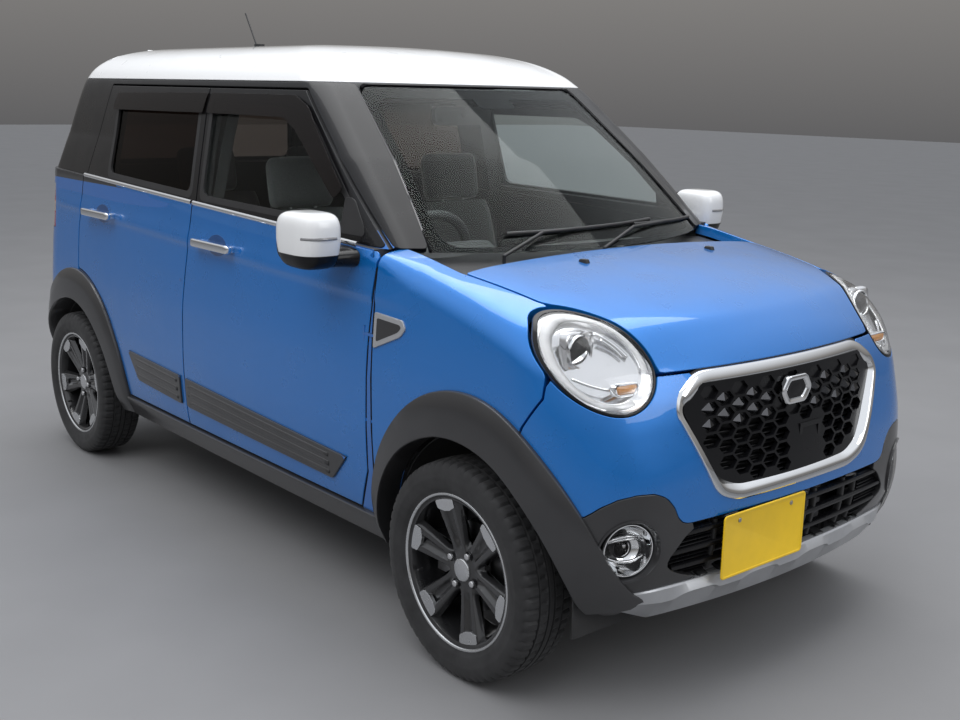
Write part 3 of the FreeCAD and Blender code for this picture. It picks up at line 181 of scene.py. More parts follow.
# ---------------------------------------------------------------- lower body form
FRONT_C, REAR_C = 1.000, -1.200       # centres of the polar tables of nose and tail
HEIGHTS = np.arange(0.19, 1.2001, 0.010)
LOWER_AT = spline_rows(LOWER[:, 0], LOWER, HEIGHTS)
ANGLES = np.radians(np.arange(-2.0, 93.01, 0.5))
MID_X = np.arange(-1.30, 1.1001, 0.02)


def polar_table(centre, sign):
    grid = np.zeros((len(ANGLES), len(HEIGHTS)))
    for j, (_, nose, tail, half, bow, depth, tbow, tdepth) in enumerate(LOWER_AT):
        pts = plan_outline(nose, tail, half, bow, depth, 0.70, tbow, tdepth)
        pts = pts[(pts[:, 0] - centre) * sign > -0.25]
        ang = np.arctan2(pts[:, 1], (pts[:, 0] - centre) * sign)
        rad = np.hypot(pts[:, 1], pts[:, 0] - centre)
        order = np.argsort(ang)
        ang, rad = ang[order], rad[order]
        ang = np.concatenate([-ang[1:12][::-1], ang])
        rad = np.concatenate([rad[1:12][::-1], rad])
        grid[:, j] = np.interp(ANGLES, ang, rad)
    grid = blur(grid, 4)
    step = ANGLES[1] - ANGLES[0]
    lean = 1.0 / np.sqrt(1.0 + (np.gradient(grid, step, axis=0) / grid) ** 2)
    return [Table(ANGLES[0], step, HEIGHTS[0], 0.010, values) for values in (grid, lean)]


FRONT_R, FRONT_LEAN = polar_table(FRONT_C, 1.0)
REAR_R, REAR_LEAN = polar_table(REAR_C, -1.0)


def middle_table():
    grid = np.zeros((len(MID_X), len(HEIGHTS)))
    share_f = np.clip((MID_X - 0.55) / (FRONT_C - 0.55), 0, 1) ** 2
    share_r = np.clip((-0.80 - MID_X) / (-0.80 - REAR_C), 0, 1) ** 2
    for j, (_, nose, tail, half, _, depth, _, tdepth) in enumerate(LOWER_AT):
        front, back = nose - depth, tail + tdepth
        row = half - 0.015 * half * ((MID_X - 0.5 * (front + back)) / (0.5 * (front - back))) ** 2
        # both ends run into the polar tables
        at = (np.full(1, math.pi / 2), np.full(1, HEIGHTS[j]))
        here = np.interp((FRONT_C, REAR_C), MID_X, row)
        grid[:, j] = row + share_f * (FRONT_R(*at)[0] - here[0]) + share_r * (REAR_R(*at)[0] - here[1])
    return Table(MID_X[0], 0.02, HEIGHTS[0], 0.010, grid)


MID_Y = middle_table()


def ramped(value, start, run):
    """0 at the start, 1 a run further on."""
    return np.clip((value - start) / run, 0, 1)


def relief(x, y, z):
    """Feature line pressed into the flanks, positive outward."""
    d = z - (0.968 - 0.030 * x)
    crease = 0.0042 * np.exp(-(np.maximum(d, 0) / 0.045) ** 2) * np.exp(-(np.minimum(d, 0) / 0.014) ** 2)
    return crease * ramped(-x, -1.02, 0.25) * ramped(x, -1.62, 0.20) * ramped(np.abs(y), 0.45, 0.1)


def plan_depth(x, y, z):
    """Distance in from the outline at each height."""
    ay = np.abs(y)
    fx, rx = np.maximum(x - FRONT_C, 0.0), np.maximum(REAR_C - x, 0.0)
    fa, ra = np.arctan2(ay, fx), np.arctan2(ay, rx)
    front = (FRONT_R(fa, z) - np.hypot(fx, ay)) * FRONT_LEAN(fa, z)
    rear = (REAR_R(ra, z) - np.hypot(rx, ay)) * REAR_LEAN(ra, z)
    return np.where(x > FRONT_C, front, np.where(x < REAR_C, rear, MID_Y(x, z) - ay)) + relief(x, y, z)


def top_z(x, y):
    _, crown, seam, shoulder = spline_rows(TOPS[:, 0], TOPS, x).T
    ay = np.abs(y)
    a = (crown - seam) / 0.58 ** 2
    b = (crown - a * 0.49 - shoulder) / 0.25 ** 3
    return crown - a * ay ** 2 - b * np.maximum(ay - 0.45, 0.0) ** 3


def body(p):
    """Lower body form, positive inside: side and top joined by a rolled shoulder."""
    x, y, z = p.T
    side, top = plan_depth(x, y, z), top_z(x, y)
    lean = (top_z(x + 0.01, y) - top) / 0.01
    height = (top - z) / np.sqrt(1.0 + lean ** 2)
    roll = 0.012 + 0.036 * ramped(x, 0.70, 0.25) + 0.022 * ramped(x, 1.35, 0.2)
    a, b = np.maximum(roll - side, 0.0), np.maximum(roll - height, 0.0)
    return np.where((a > 0) & (b > 0), roll - np.hypot(a, b), np.minimum(side, height))


def cast(start, direction, near=0.0, far=0.6):
    """Point on each ray at which the lower body is left."""
    start = np.asarray(start, float)
    direction = np.broadcast_to(np.asarray(direction, float), start.shape)
    lo, hi = np.full(len(start), near), np.full(len(start), far)
    for _ in range(20):
        mid = 0.5 * (lo + hi)
        inside = body(start + direction * mid[:, None]) > 0
        lo, hi = np.where(inside, mid, lo), np.where(inside, hi, mid)
    return start + direction * (0.5 * (lo + hi))[:, None]


def unit(v):
    return v / np.maximum(np.linalg.norm(v, axis=-1, keepdims=True), 1e-9)


def body_normal(p):
    return unit(np.stack([body(p - e) - body(p + e) for e in 0.003 * np.eye(3)], 1))


# ---------------------------------------------------------------- upper body form
def ring(row):
    """Whole outline of one glasshouse row: nose centre, right side, tail, left side."""
    right = plan_outline(*row[1:], (50, 70, 180, 60, 40)) * (1, -1)
    return np.concatenate([right, right[1:-1][::-1] * (1, -1)])


def upper_grid():
    """Points over shares of the table's index and around the outline, right half first."""
    rows = np.concatenate([np.arange(0, 2.0, 0.05), np.arange(2.0, 7.001, 0.10)])
    k = np.arange(-12, 13)
    weight = np.exp(-0.5 * (k / 3.0) ** 2)
    weight /= weight.sum()
    out = []
    for w, row in zip(rows, spline_rows(np.arange(len(UPPER), dtype=float), UPPER, rows)):
        sharp = ring(row)
        line = sum(wk * np.roll(sharp, -kk, axis=0) for kk, wk in zip(k, weight))
        out.append(np.column_stack([line, row[0] + BELT_SLOPE * line[:, 0] * max(0.0, 1.0 - w)]))
    return np.array(out)


def grid_normals(p, wrap):
    du = np.roll(p, -1, axis=1) - np.roll(p, 1, axis=1) if wrap else np.gradient(p, axis=1)
    return unit(np.cross(np.gradient(p, axis=0), du))


# ---------------------------------------------------------------- signed distances, positive inside
def poly(q, pts):
    best = np.full(len(q), 9.0)
    inside = np.zeros(len(q), bool)
    for a, b in zip(pts, np.roll(pts, -1, axis=0)):
        ab, aq = b - a, q - a
        t = np.clip((aq @ ab) / (ab @ ab), 0, 1)
        best = np.minimum(best, np.hypot(*(aq - t[:, None] * ab).T))
        cross = (a[1] > q[:, 1]) != (b[1] > q[:, 1])
        with np.errstate(divide="ignore", invalid="ignore"):
            hit = q[:, 0] < (b[0] - a[0]) * (q[:, 1] - a[1]) / (b[1] - a[1]) + a[0]
        inside ^= cross & hit
    return np.where(inside, best, -best)


def meet(parts, r=0.0):
    """Region common to several, its inner corners rounded with r."""
    low = np.minimum.reduce(parts)
    if r <= 0:
        return low
    pull = np.sqrt(sum(np.maximum(r - d, 0.0) ** 2 for d in parts))
    return np.where(pull > r * 1e-6, np.where(low < r, r - pull, low), low)


def convex(q, pts, r):
    """Convex outline with round corners."""
    mid = pts.mean(axis=0)
    sides = []
    for a, b in zip(pts, np.roll(pts, -1, axis=0)):
        d = (b - a) / np.linalg.norm(b - a)
        n = np.array([-d[1], d[0]])
        sides.append((q - a) @ (n if (mid - a) @ n >= 0 else -n))
    return meet(sides, r)


# ---------------------------------------------------------------- meshes
def quads(rows, cols, ring_=False, closed=False):
    """Faces over a grid of vertices; ring_ joins the last column to the first, closed the rows."""
    i, j = np.meshgrid(np.arange(rows - (not closed)), np.arange(cols - (not ring_)), indexing="ij")
    i2, j2 = (i + 1) % rows, (j + 1) % cols
    return np.stack([i * cols + j, i * cols + j2, i2 * cols + j2, i2 * cols + j], -1).reshape(-1, 4).tolist()


class Mesh:
    """Vertices, faces, normals and a material number per face, gathered from many parts."""

    def __init__(self):
        self.v, self.f, self.n, self.m = [], [], [], []
        self.count = 0

    def add(self, v, f, n=None, m=0):
        v = np.asarray(v, float).reshape(-1, 3)
        self.v.append(v)
        self.n.append(np.zeros_like(v) if n is None else np.asarray(n, float).reshape(-1, 3))
        self.f.extend([tuple(int(i) + self.count for i in face) for face in f])
        self.m.extend(m if isinstance(m, list) else [m] * len(f))
        self.count += len(v)
        return self

    def join(self, other, mirror=False, matrix=None):
        v, n, faces = np.concatenate(other.v), np.concatenate(other.n), other.f
        if matrix is not None:
            a = np.array(matrix)
            v = v @ a[:3, :3].T + a[:3, 3]
            n = n @ np.linalg.inv(a[:3, :3])
        if mirror:
            v, n = v * (1, -1, 1), n * (1, -1, 1)
            faces = [face[::-1] for face in faces]
        return self.add(v, faces, n, other.m)

    def faced(self, number, direction):
        """Turns all the faces if the numbered one looks against the direction."""
        a, b, c = (self.v[0][self.f[number][k]] for k in (0, 1, 3))
        if np.cross(b - a, c - a) @ np.asarray(direction, float) < 0:
            self.f = [face[::-1] for face in self.f]
        return self

    def object(self, name, mats, sharp):
        data = bpy.data.meshes.new(name)
        data.from_pydata(np.concatenate(self.v).tolist(), [], self.f)
        for mat in mats:
            data.materials.append(mat)
        data.polygons.foreach_set("material_index", np.array(self.m, dtype=np.int32))
        data.update()
        data.shade_smooth()
        data.set_sharp_from_angle(angle=math.radians(sharp))
        normals = np.concatenate(self.n)
        if np.abs(normals).sum() > 0:
            data.normals_split_custom_set_from_vertices(normals.tolist())
        obj = bpy.data.objects.new(name, data)
        bpy.context.collection.objects.link(obj)
        return obj


def both(part):
    """A right-hand part and its mirror image in one mesh."""
    return Mesh().join(part).join(part, mirror=True)


class Chart:
    """Grid of surface points with normals, and flat lists of their coordinates."""

    def __init__(self, p, n):
        self.p, self.n, self.pts = p, n, p.reshape(-1, 3)
        self.x, self.y, self.z = self.pts.T
        self.side, self.plan, self.front = self.pts[:, ::2], self.pts[:, :2], self.pts[:, 1:]


def trim(p, n, g):
    """Part of a grid where g > 0: vertices, normals, faces, and the directed boundary edges."""
    inside = g > 0
    index = -np.ones(g.shape, int)
    verts, norms = p[inside], n[inside]
    index[inside] = np.arange(len(verts))
    a, b, c, d = index[:-1, :-1], index[1:, :-1], index[1:, 1:], index[:-1, 1:]
    count = (a >= 0).astype(int) + (b >= 0) + (c >= 0) + (d >= 0)
    full = count == 4
    faces = [tuple(q) for q in np.stack([a[full], b[full], c[full], d[full]], 1).tolist()]
    cuts, extra_v, extra_n = {}, [], []

    def crossing(u, v):
        key = (u, v) if u < v else (v, u)
        if key not in cuts:
            t = g[u] / (g[u] - g[v])
            extra_v.append(p[u] + t * (p[v] - p[u]))
            extra_n.append(unit(n[u] + t * (n[v] - n[u])))
            cuts[key] = len(verts) + len(extra_v) - 1
        return cuts[key]
    for i, j in np.argwhere((count > 0) & (count < 4)):
        corners = [(i, j), (i + 1, j), (i + 1, j + 1), (i, j + 1)]
        face = []
        for u, v in zip(corners, corners[1:] + corners[:1]):
            if inside[u]:
                face.append(int(index[u]))
            if inside[u] != inside[v]:
                face.append(crossing(u, v))
        if len(face) >= 3:
            faces.append(tuple(face))
    if extra_v:
        verts = np.concatenate([verts, np.array(extra_v)])
        norms = np.concatenate([norms, np.array(extra_n)])
    used = dict.fromkeys((u, v) for face in faces for u, v in zip(face, face[1:] + face[:1]))
    # a closed grid's seam is no border: its edges meet their own reverse
    spot = [tuple(q) for q in np.round(verts, 7).tolist()]
    ends = {(spot[u], spot[v]) for u, v in used}
    return verts, norms, faces, [(u, v) for u, v in used if (spot[v], spot[u]) not in ends]


def panel(chart, g, off=0.0, thick=0.014, edge=EDGE_R, mat=0, inner=None):
    """Sheet cut from a chart, with a rolled edge, a flange and, if given a material, an inner face."""
    p, n = chart.p, chart.n
    g = np.reshape(g, p.shape[:2])
    turn = np.cross(p[1:, :-1] - p[:-1, :-1], p[:-1, 1:] - p[:-1, :-1])
    if np.sum(turn * n[:-1, :-1]) <= 0:
        p, n, g = p[:, ::-1], n[:, ::-1], g[:, ::-1]
    v, m, faces, border = trim(p, n, g - edge)
    v = v + m * off
    out = Mesh().add(v, faces, m, mat)
    if not border:
        return out
    reach = np.zeros_like(v)
    for a, b in border:
        t = np.cross(v[b] - v[a], m[a] + m[b])
        reach[a] += t
        reach[b] += t
    rim_ = sorted({i for e in border for i in e})
    slot = {i: k for k, i in enumerate(rim_)}
    base, up, t = v[rim_], m[rim_], reach[rim_]
    t = unit(t - up * np.sum(t * up, axis=1, keepdims=True))
    rings, norms = [base], [up]
    for a in np.radians((35.0, 65.0, 90.0)):
        rings.append(base + t * edge * math.sin(a) - up * edge * (1 - math.cos(a)))
        norms.append(up * math.cos(a) + t * math.sin(a))
    rings.append(rings[-1] - up * max(thick - edge, 0.001))
    norms.append(t)
    k = len(rim_)
    strips = [(low + slot[b], low + slot[a], low + k + slot[a], low + k + slot[b])
              for low in range(0, (len(rings) - 1) * k, k) for a, b in border]
    out.add(np.concatenate(rings), strips, np.concatenate(norms), mat)
    if inner is not None:
        deep = v - m * thick
        deep[rim_] = rings[-1]
        out.add(deep, [f[::-1] for f in faces], -m, inner)
    return out


def rays(start, d, near=0.05, far=1.2):
    q = cast(np.broadcast_to(start, d.shape).reshape(-1, 3), d.reshape(-1, 3), near, far)
    return Chart(q.reshape(d.shape), body_normal(q).reshape(d.shape))


def mesh_over(u0, u1, ku, v0, v1, kv):
    return np.meshgrid(np.linspace(u0, u1, ku), np.linspace(v0, v1, kv), indexing="ij")


def side_chart(x0, x1, z0, z1, step=CELL):
    gx, gz = mesh_over(x0, x1, int(round((x1 - x0) / step)) + 1, z0, z1, int(round((z1 - z0) / step)) + 1)
    chart = rays(np.stack([gx, 0 * gx, gz], -1), np.full((*gx.shape, 3), (0.0, -1.0, 0.0)))
    p, n, zs = chart.p, chart.n, gz[0]
    # above the waist's round edge the wall carries straight on
    for i, x in enumerate(gx[:, 0]):
        k = int(np.searchsorted(zs, BELT_Z + BELT_SLOPE * x - 0.014)) - 1
        if x < 0.84 and 0 < k < len(zs) - 1:
            p[i, k + 1:, 0], p[i, k + 1:, 1], p[i, k + 1:, 2] = x, p[i, k, 1], zs[k + 1:]
            n[i, k + 1:] = n[i, k]
    return Chart(p, n)


def wing_chart(x0, x1, a0, a1, step=CELL):
    gx, ga = mesh_over(x0, x1, int((x1 - x0) / step) + 1,
                       math.radians(a0), math.radians(a1), int(math.radians(a1 - a0) * 0.5 / step) + 1)
    start = np.stack([gx, 0 * gx - 0.25, 0 * gx + 0.62], -1)
    return rays(start, np.stack([0 * gx, -np.cos(ga), np.sin(ga)], -1))


def plan_chart(x0, x1, y0, y1):
    gx, gy = mesh_over(x0, x1, int((x1 - x0) / CELL) + 1, y0, y1, int((y1 - y0) / CELL) + 1)
    return rays(np.stack([gx, gy, 0 * gx + 0.55], -1), np.full((*gx.shape, 3), (0.0, 0.0, 1.0)))


def end_chart(centre, sign, side, low, high):
    """Rays from a point inside the nose or tail, over a turn of 'side' degrees each way."""
    side, low, high = math.radians(side), math.radians(low), math.radians(high)
    ga, gu = mesh_over(-side, side, int(2 * side * 0.53 / CELL) + 1,
                       low, high, int((high - low) * 0.53 / CELL) + 1)
    across = np.cos(gu)
    return rays(centre, np.stack([sign * across * np.cos(ga), across * np.sin(ga), np.sin(gu)], -1))


# ---------------------------------------------------------------- materials
INPUTS = {"coat": "Coat Weight", "coat_rough": "Coat Roughness", "sheen": "Sheen Weight", "ior": "IOR",
          "glassy": "Transmission Weight", "spec": "Specular IOR Level"}


def shader(mat):
    return mat.node_tree.nodes["Principled BSDF"]


def node(mat, kind, vector=None, **values):
    n = mat.node_tree.nodes.new(kind)
    for key, value in values.items():
        if key in n.inputs:
            n.inputs[key].default_value = value
        else:
            setattr(n, key, value)
    if vector is not None:
        link(mat, vector, n.inputs["Vector"])
    return n


def link(mat, source, target):
    mat.node_tree.links.new(source, target)


def noise(mat, scale, detail=4.0):
    where = node(mat, "ShaderNodeTexCoord").outputs["Object"]
    return node(mat, "ShaderNodeTexNoise", where, Scale=scale, Detail=detail).outputs["Fac"]


def ramp(mat, source, stops):
    n = node(mat, "ShaderNodeValToRGB")
    for e, (at, c) in zip(n.color_ramp.elements, stops):
        e.position, e.color = at, (*c, 1.0)
    link(mat, source, n.inputs["Fac"])
    return n.outputs["Color"]


def shades(color, amount):
    return tuple(c * (1 - amount) for c in color), tuple(min(1.0, c * (1 + amount)) for c in color)


def bump(mat, source, strength, distance, into="Normal"):
    n = node(mat, "ShaderNodeBump", Strength=strength, Distance=distance)
    link(mat, source, n.inputs["Height"])
    link(mat, n.outputs["Normal"], shader(mat).inputs[into])


def material(name, color, rough, metal=0.0, vary=None, polish=None, grain=None, **more):
    """Principled material. vary: amount and scale of a slight change of colour; polish: lowest and
    highest roughness, scale and detail; grain: scale, detail, strength and distance of a fine bump."""
    mat = bpy.data.materials.new(name)
    mat.use_nodes = True
    values = {"Base Color": (*color, 1.0), "Roughness": rough, "Metallic": metal, "IOR": 1.5,
              "Coat Roughness": 0.03, **{INPUTS[key]: value for key, value in more.items()}}
    for key, value in values.items():
        shader(mat).inputs[key].default_value = value
    mat.diffuse_color = (*color, 1.0)
    if vary:
        dark, light = shades(color, vary[0])
        change = ramp(mat, noise(mat, vary[1]), [(0.3, dark), (0.7, light)])
        link(mat, change, shader(mat).inputs["Base Color"])
    if polish:
        low, high, scale = polish
        change = ramp(mat, noise(mat, scale, 5.0), [(0.35, (low,) * 3), (0.65, (high,) * 3)])
        link(mat, change, shader(mat).inputs["Roughness"])
    if grain:
        bump(mat, noise(mat, *grain[:2]), *grain[2:])
    return mat


def paint(name, color, metal, flake, coat=1.0, spec=0.5):
    mat = material(name, color, 0.30, metal, polish=(0.26, 0.36, 9.0), coat=coat, coat_rough=0.015,
                   spec=spec)
    where = node(mat, "ShaderNodeTexCoord").outputs["Object"]
    flakes = node(mat, "ShaderNodeTexVoronoi", where, Scale=2600.0).outputs["Color"]
    dark, light = shades(color, flake)
    link(mat, ramp(mat, flakes, [(0.2, dark), (0.8, light)]), shader(mat).inputs["Base Color"])
    # a trace of orange peel in the clear coat
    bump(mat, noise(mat, 140.0, 2.0), 0.02, 0.0004, "Coat Normal")
    return mat


BLUE = paint("body_blue_paint", (0.005, 0.170, 0.560), 0.42, 0.14)
WHITE = paint("roof_white_paint", (0.76, 0.77, 0.78), 0.0, 0.02)
GLOSS_BLACK = paint("black_gloss_trim", (0.005, 0.005, 0.006), 0.0, 0.15, coat=0.25, spec=0.20)
ALLOY = paint("wheel_black", (0.010, 0.010, 0.011), 0.0, 0.2)
CLAD = material("dark_grey_cladding", (0.030, 0.030, 0.032), 0.36, 0.25, vary=(0.12, 6.0),
                grain=(900.0, 3.0, 0.05, 0.0002), coat=0.7, coat_rough=0.10)
BLACK = material("black_moulding", (0.018, 0.018, 0.019), 0.45, vary=(0.15, 9.0),
                 grain=(1100.0, 3.0, 0.15, 0.0002))
FRIT = material("glass_border", (0.006, 0.006, 0.007), 0.85, vary=(0.10, 10.0), spec=0.05)
SILVER = material("silver_garnish", (0.46, 0.47, 0.49), 0.38, 0.55, vary=(0.05, 14.0), coat=0.4,
                  coat_rough=0.14)
CHROME = material("bright_trim", (0.86, 0.87, 0.88), 0.06, 1.0, polish=(0.04, 0.09, 22.0))
RUBBER = material("tyre_rubber", (0.022, 0.022, 0.023), 0.72, vary=(0.22, 16.0), polish=(0.62, 0.80, 30.0),
                  sheen=0.05)
CUT = material("wheel_machined", (0.70, 0.71, 0.72), 0.22, 1.0, polish=(0.16, 0.28, 60.0))
STEEL = material("brake_steel", (0.42, 0.42, 0.43), 0.35, 1.0, vary=(0.15, 30.0))
IRON = material("cast_iron", (0.10, 0.10, 0.105), 0.62, 0.6, vary=(0.25, 25.0),
                grain=(300.0, 5.0, 0.35, 0.0008))
UNDER = material("underbody_coat", (0.030, 0.030, 0.031), 0.75, vary=(0.25, 12.0),
                 grain=(240.0, 4.0, 0.4, 0.0010))
GLASS = material("window_glass", (0.90, 0.96, 0.94), 0.0, glassy=1.0, ior=1.12)
TINT = material("privacy_glass", (0.16, 0.12, 0.10), 0.0, glassy=1.0, ior=1.12)
LENS = material("lamp_lens", (0.98, 0.98, 0.98), 0.0, glassy=1.0, ior=1.25)
VISOR = material("smoked_visor", (0.06, 0.05, 0.05), 0.02, glassy=0.9, ior=1.25)
RED = material("red_lens", (0.55, 0.012, 0.015), 0.06, glassy=0.45, coat=1.0)
AMBER = material("amber_lens", (0.95, 0.42, 0.08), 0.10, glassy=0.35, coat=1.0)
PLATE = material("plate_yellow", (0.86, 0.56, 0.012), 0.42, vary=(0.04, 18.0), coat=0.2, coat_rough=0.3)
LIGHT_GUIDE = material("white_light_guide", (0.92, 0.93, 0.94), 0.25, glassy=0.3)
CLOTH = material("seat_cloth", (0.050, 0.050, 0.053), 0.85, vary=(0.3, 260.0),
                 grain=(1500.0, 2.0, 0.5, 0.0006), sheen=0.4)
CABIN = material("cabin_plastic", (0.035, 0.035, 0.038), 0.6, vary=(0.12, 10.0),
                 grain=(700.0, 3.0, 0.3, 0.0004))
REFLECTOR = material("lamp_reflector", (0.80, 0.81, 0.83), 0.16, 0.85, polish=(0.12, 0.22, 30.0), coat=0.4)
DARK_CHROME = material("dark_chrome", (0.035, 0.036, 0.040), 0.26, 0.8, polish=(0.08, 0.16, 26.0))
DUCT = material("grey_duct", (0.16, 0.16, 0.165), 0.5, vary=(0.10, 12.0))
STEEL_BRIGHT = material("plated_steel", (0.74, 0.74, 0.75), 0.18, 1.0, polish=(0.14, 0.24, 60.0))
# darker copy of the body blue: painted shade for the cups behind the door handles
SHADOW_BLUE = material("blue_recess_painted_shade", (0.003, 0.070, 0.25), 0.35, 0.4, vary=(0.15, 20.0), coat=0.8)
MIRROR = material("mirror_glass", (0.85, 0.86, 0.87), 0.02, 1.0, polish=(0.01, 0.03, 12.0))
LENS_SMOKE = material("smoked_lens", (0.30, 0.30, 0.31), 0.05, vary=(0.05, 20.0), glassy=0.6, coat=1.0)
HEADLINER = material("headliner", (0.42, 0.42, 0.41), 0.9, vary=(0.06, 120.0), sheen=0.2)

# ---------------------------------------------------------------- camera, floor and light
CAM_AT = Vector((3.35285, -2.49610, 1.48405))
CAM_YAW, CAM_PITCH, CAM_ROLL = (math.radians(a) for a in (139.6168, -12.8179, 1.2396))
CAM_LENS = 44.176
FLOOR = 40.0          # half side of the floor


def show(name, data):
    obj = bpy.data.objects.new(name, data)
    bpy.context.collection.objects.link(obj)
    return obj


def stage():
    scene = bpy.context.scene
    scene.view_settings.view_transform = "Standard"
    flat = math.cos(CAM_PITCH)
    look = Vector((flat * math.cos(CAM_YAW), flat * math.sin(CAM_YAW), math.sin(CAM_PITCH)))
    right = look.cross(Vector((0, 0, 1))).normalized()
    up = right.cross(look)
    c, s = math.cos(CAM_ROLL), math.sin(CAM_ROLL)
    data = bpy.data.cameras.new("photo_camera")
    data.lens, data.sensor_width = CAM_LENS, 36.0
    cam = show("photo_camera", data)
    m = Matrix((right * c + up * s, up * c - right * s, -look)).transposed().to_4x4()
    m.translation = CAM_AT
    cam.matrix_world = m
    scene.camera = cam

    floor = bpy.data.meshes.new("studio_floor")
    corners = [(x * FLOOR, y * FLOOR, 0) for x, y in ((-1, -1), (1, -1), (1, 1), (-1, 1))]
    floor.from_pydata(corners, [], [(0, 1, 2, 3)])
    floor.materials.append(material("floor_grey", (0.20, 0.20, 0.205), 0.75, vary=(0.04, 2.0)))
    show("studio_floor", floor)

    world = bpy.data.worlds.new("studio")
    scene.world = world
    world.use_nodes = True
    nodes, links = world.node_tree.nodes, world.node_tree.links
    tex, split = nodes.new("ShaderNodeTexCoord"), nodes.new("ShaderNodeSeparateXYZ")
    sky, half = nodes.new("ShaderNodeValToRGB"), nodes.new("ShaderNodeMath")
    first, last = sky.color_ramp.elements
    first.position, first.color = 0.47, (0.10, 0.10, 0.105, 1)
    last.position, last.color = 0.80, (0.90, 0.93, 0.98, 1)
    sky.color_ramp.elements.new(0.56).color = (0.26, 0.25, 0.24, 1)
    half.operation = "MULTIPLY_ADD"
    half.inputs[1].default_value = half.inputs[2].default_value = 0.5
    links.new(tex.outputs["Generated"], split.inputs[0])
    links.new(split.outputs["Z"], half.inputs[0])
    links.new(half.outputs[0], sky.inputs["Fac"])
    links.new(sky.outputs["Color"], nodes["Background"].inputs["Color"])
    nodes["Background"].inputs["Strength"].default_value = 0.95

    for name, at, aim, w, h, power_ in (
            ("key_soft", (1.5, -4.0, 5.5), (0.2, 0, 0.6), 5.0, 4.0, 210.0),
            ("top_soft", (-0.5, 1.0, 6.5), (0.0, 0, 1.0), 7.0, 5.0, 300.0),
            ("front_soft", (6.5, 1.5, 3.5), (1.0, 0, 0.7), 3.0, 3.0, 60.0)):
        lamp_ = bpy.data.lights.new(name, "AREA")
        lamp_.shape = "RECTANGLE"
        lamp_.size, lamp_.size_y, lamp_.energy = w, h, power_
        obj = show(name, lamp_)
        obj.location = at
        obj.rotation_euler = (Vector(aim) - Vector(at)).to_track_quat("-Z", "Y").to_euler()
        obj.visible_glossy = name != "key_soft"


stage()


# ---------------------------------------------------------------- panel outlines (the part's own)
def mm(*pts):
    return np.array(pts, float) * MM


def mirrored(half, axis=1):
    """Closed outline from one half, the other being its mirror image across an axis of the pair."""
    return np.concatenate([half, half[::-1] * ((1, -1) if axis else (-1, 1))])


FRONT_DOOR = mm((722, 330), (772, 450), (782, 810), (800, 1062), (278, 1478), (-300, 1478), (-256, 1100),
                (-300, 760), (-330, 330))
FRONT_WINDOW = mm((700, 1105), (325, 1412), (235, 1446), (-268, 1446), (-236, 1120))
REAR_DOOR = mm((-336, 330), (-306, 760), (-262, 1100), (-306, 1478), (-1093, 1478), (-1180, 1135),
               (-1218, 930), (-1220, 330))
REAR_WINDOW = mm((-300, 1122), (-338, 1446), (-1010, 1438), (-985, 1146))
BONNET_PLAN = mirrored(mm((1056, 596), (1300, 566), (1480, 500), (1575, 440), (1640, 350), (1720, 350)))
GATE = mirrored(mm((560, 600), (575, 1100), (500, 1500), (500, 1700)), 0)
GATE_WINDOW = mm((-500, 1150), (500, 1150), (440, 1440), (-440, 1440))
GRILLE = mm((-240, 525), (240, 525), (312, 552), (420, 757), (405, 800), (335, 846), (-335, 846),
            (-405, 800),
            (-420, 757), (-312, 552))
INTAKE = mm((-375, 345), (375, 345), (470, 400), (392, 488), (-392, 488), (-470, 400))
WING_SEAM = mm((806, 330), (1395, 330), (1395, 715), (1450, 800), (1450, 1100), (806, 1100))
NOSE_SEAM = mm((1400, 200), (1800, 200), (1800, 1000), (1455, 1000), (1455, 798), (1400, 713))
PAINT_EDGE = mirrored(mm((-1000, 1000), (-1000, 548), (-652, 534), (-624, 562), (-592, 580), (-550, 588),
                         (-505, 586), (-470, 571), (-447, 545), (-432, 512), (-414, 499), (-390, 497)), 0)
SKID = mm((-520, 240), (520, 240), (490, 318), (445, 336), (-445, 336), (-490, 318))
SCREEN = mm((-560, 1030), (560, 1030), (440, 1500), (-440, 1500))
SCREEN_GLASS = mm((-556, 1045), (556, 1045), (442, 1498), (-442, 1498))
SAIL = mm((700, 1090), (700, 1112), (628, 1190), (585, 1190), (585, 1090))
VISOR_F = mm((585, 1208), (330, 1428), (240, 1462), (-276, 1462), (-272, 1394), (205, 1394), (290, 1358),
             (545, 1180))
VISOR_R = mm((-298, 1462), (-1012, 1452), (-1022, 1388), (-298, 1394))
GARNISH_F = mm((597, 382), (676, 466), (-306, 500), (-313, 398))
GARNISH_R = mm((-356, 399), (-349, 501), (-770, 515), (-705, 414))
FENDER_BADGE = mm((812, 906), (935, 901), (950, 880), (930, 856), (812, 806))
LAMP_C, LAMP_R = np.array((1.500, -0.5606, 0.8762)), 0.116
LAMP_DIR = unit(np.array((0.9975, 0.041, 0.058)))
FOG_C, FOG_R = np.array((1.640, -0.563, 0.449)), 0.078
FOG_DIR = unit(np.array((0.94, -0.34, 0.0)))


def belt(x):
    return BELT_Z + BELT_SLOPE * x


def lamp_gap(p, centre, direction, radius):
    """Distance from the rod through a round lamp of either side, positive outside it."""
    out = []
    for side in (1.0, -1.0):
        q, d = p - centre * (1, side, 1), direction * (1, side, 1)
        out.append(np.linalg.norm(q - np.outer(q @ d, d), axis=1) - radius)
    return np.minimum(*out)


def wheel_gap(q, axle):
    """Outside the arch: a circle about the axle, straight down below it."""
    radius = ARCH_R + ARCH_GAP
    round_part = np.hypot(q[:, 0] - axle, q[:, 1] - TYRE_R) - radius
    return np.where(q[:, 1] > TYRE_R, round_part, np.abs(q[:, 0] - axle) - radius)


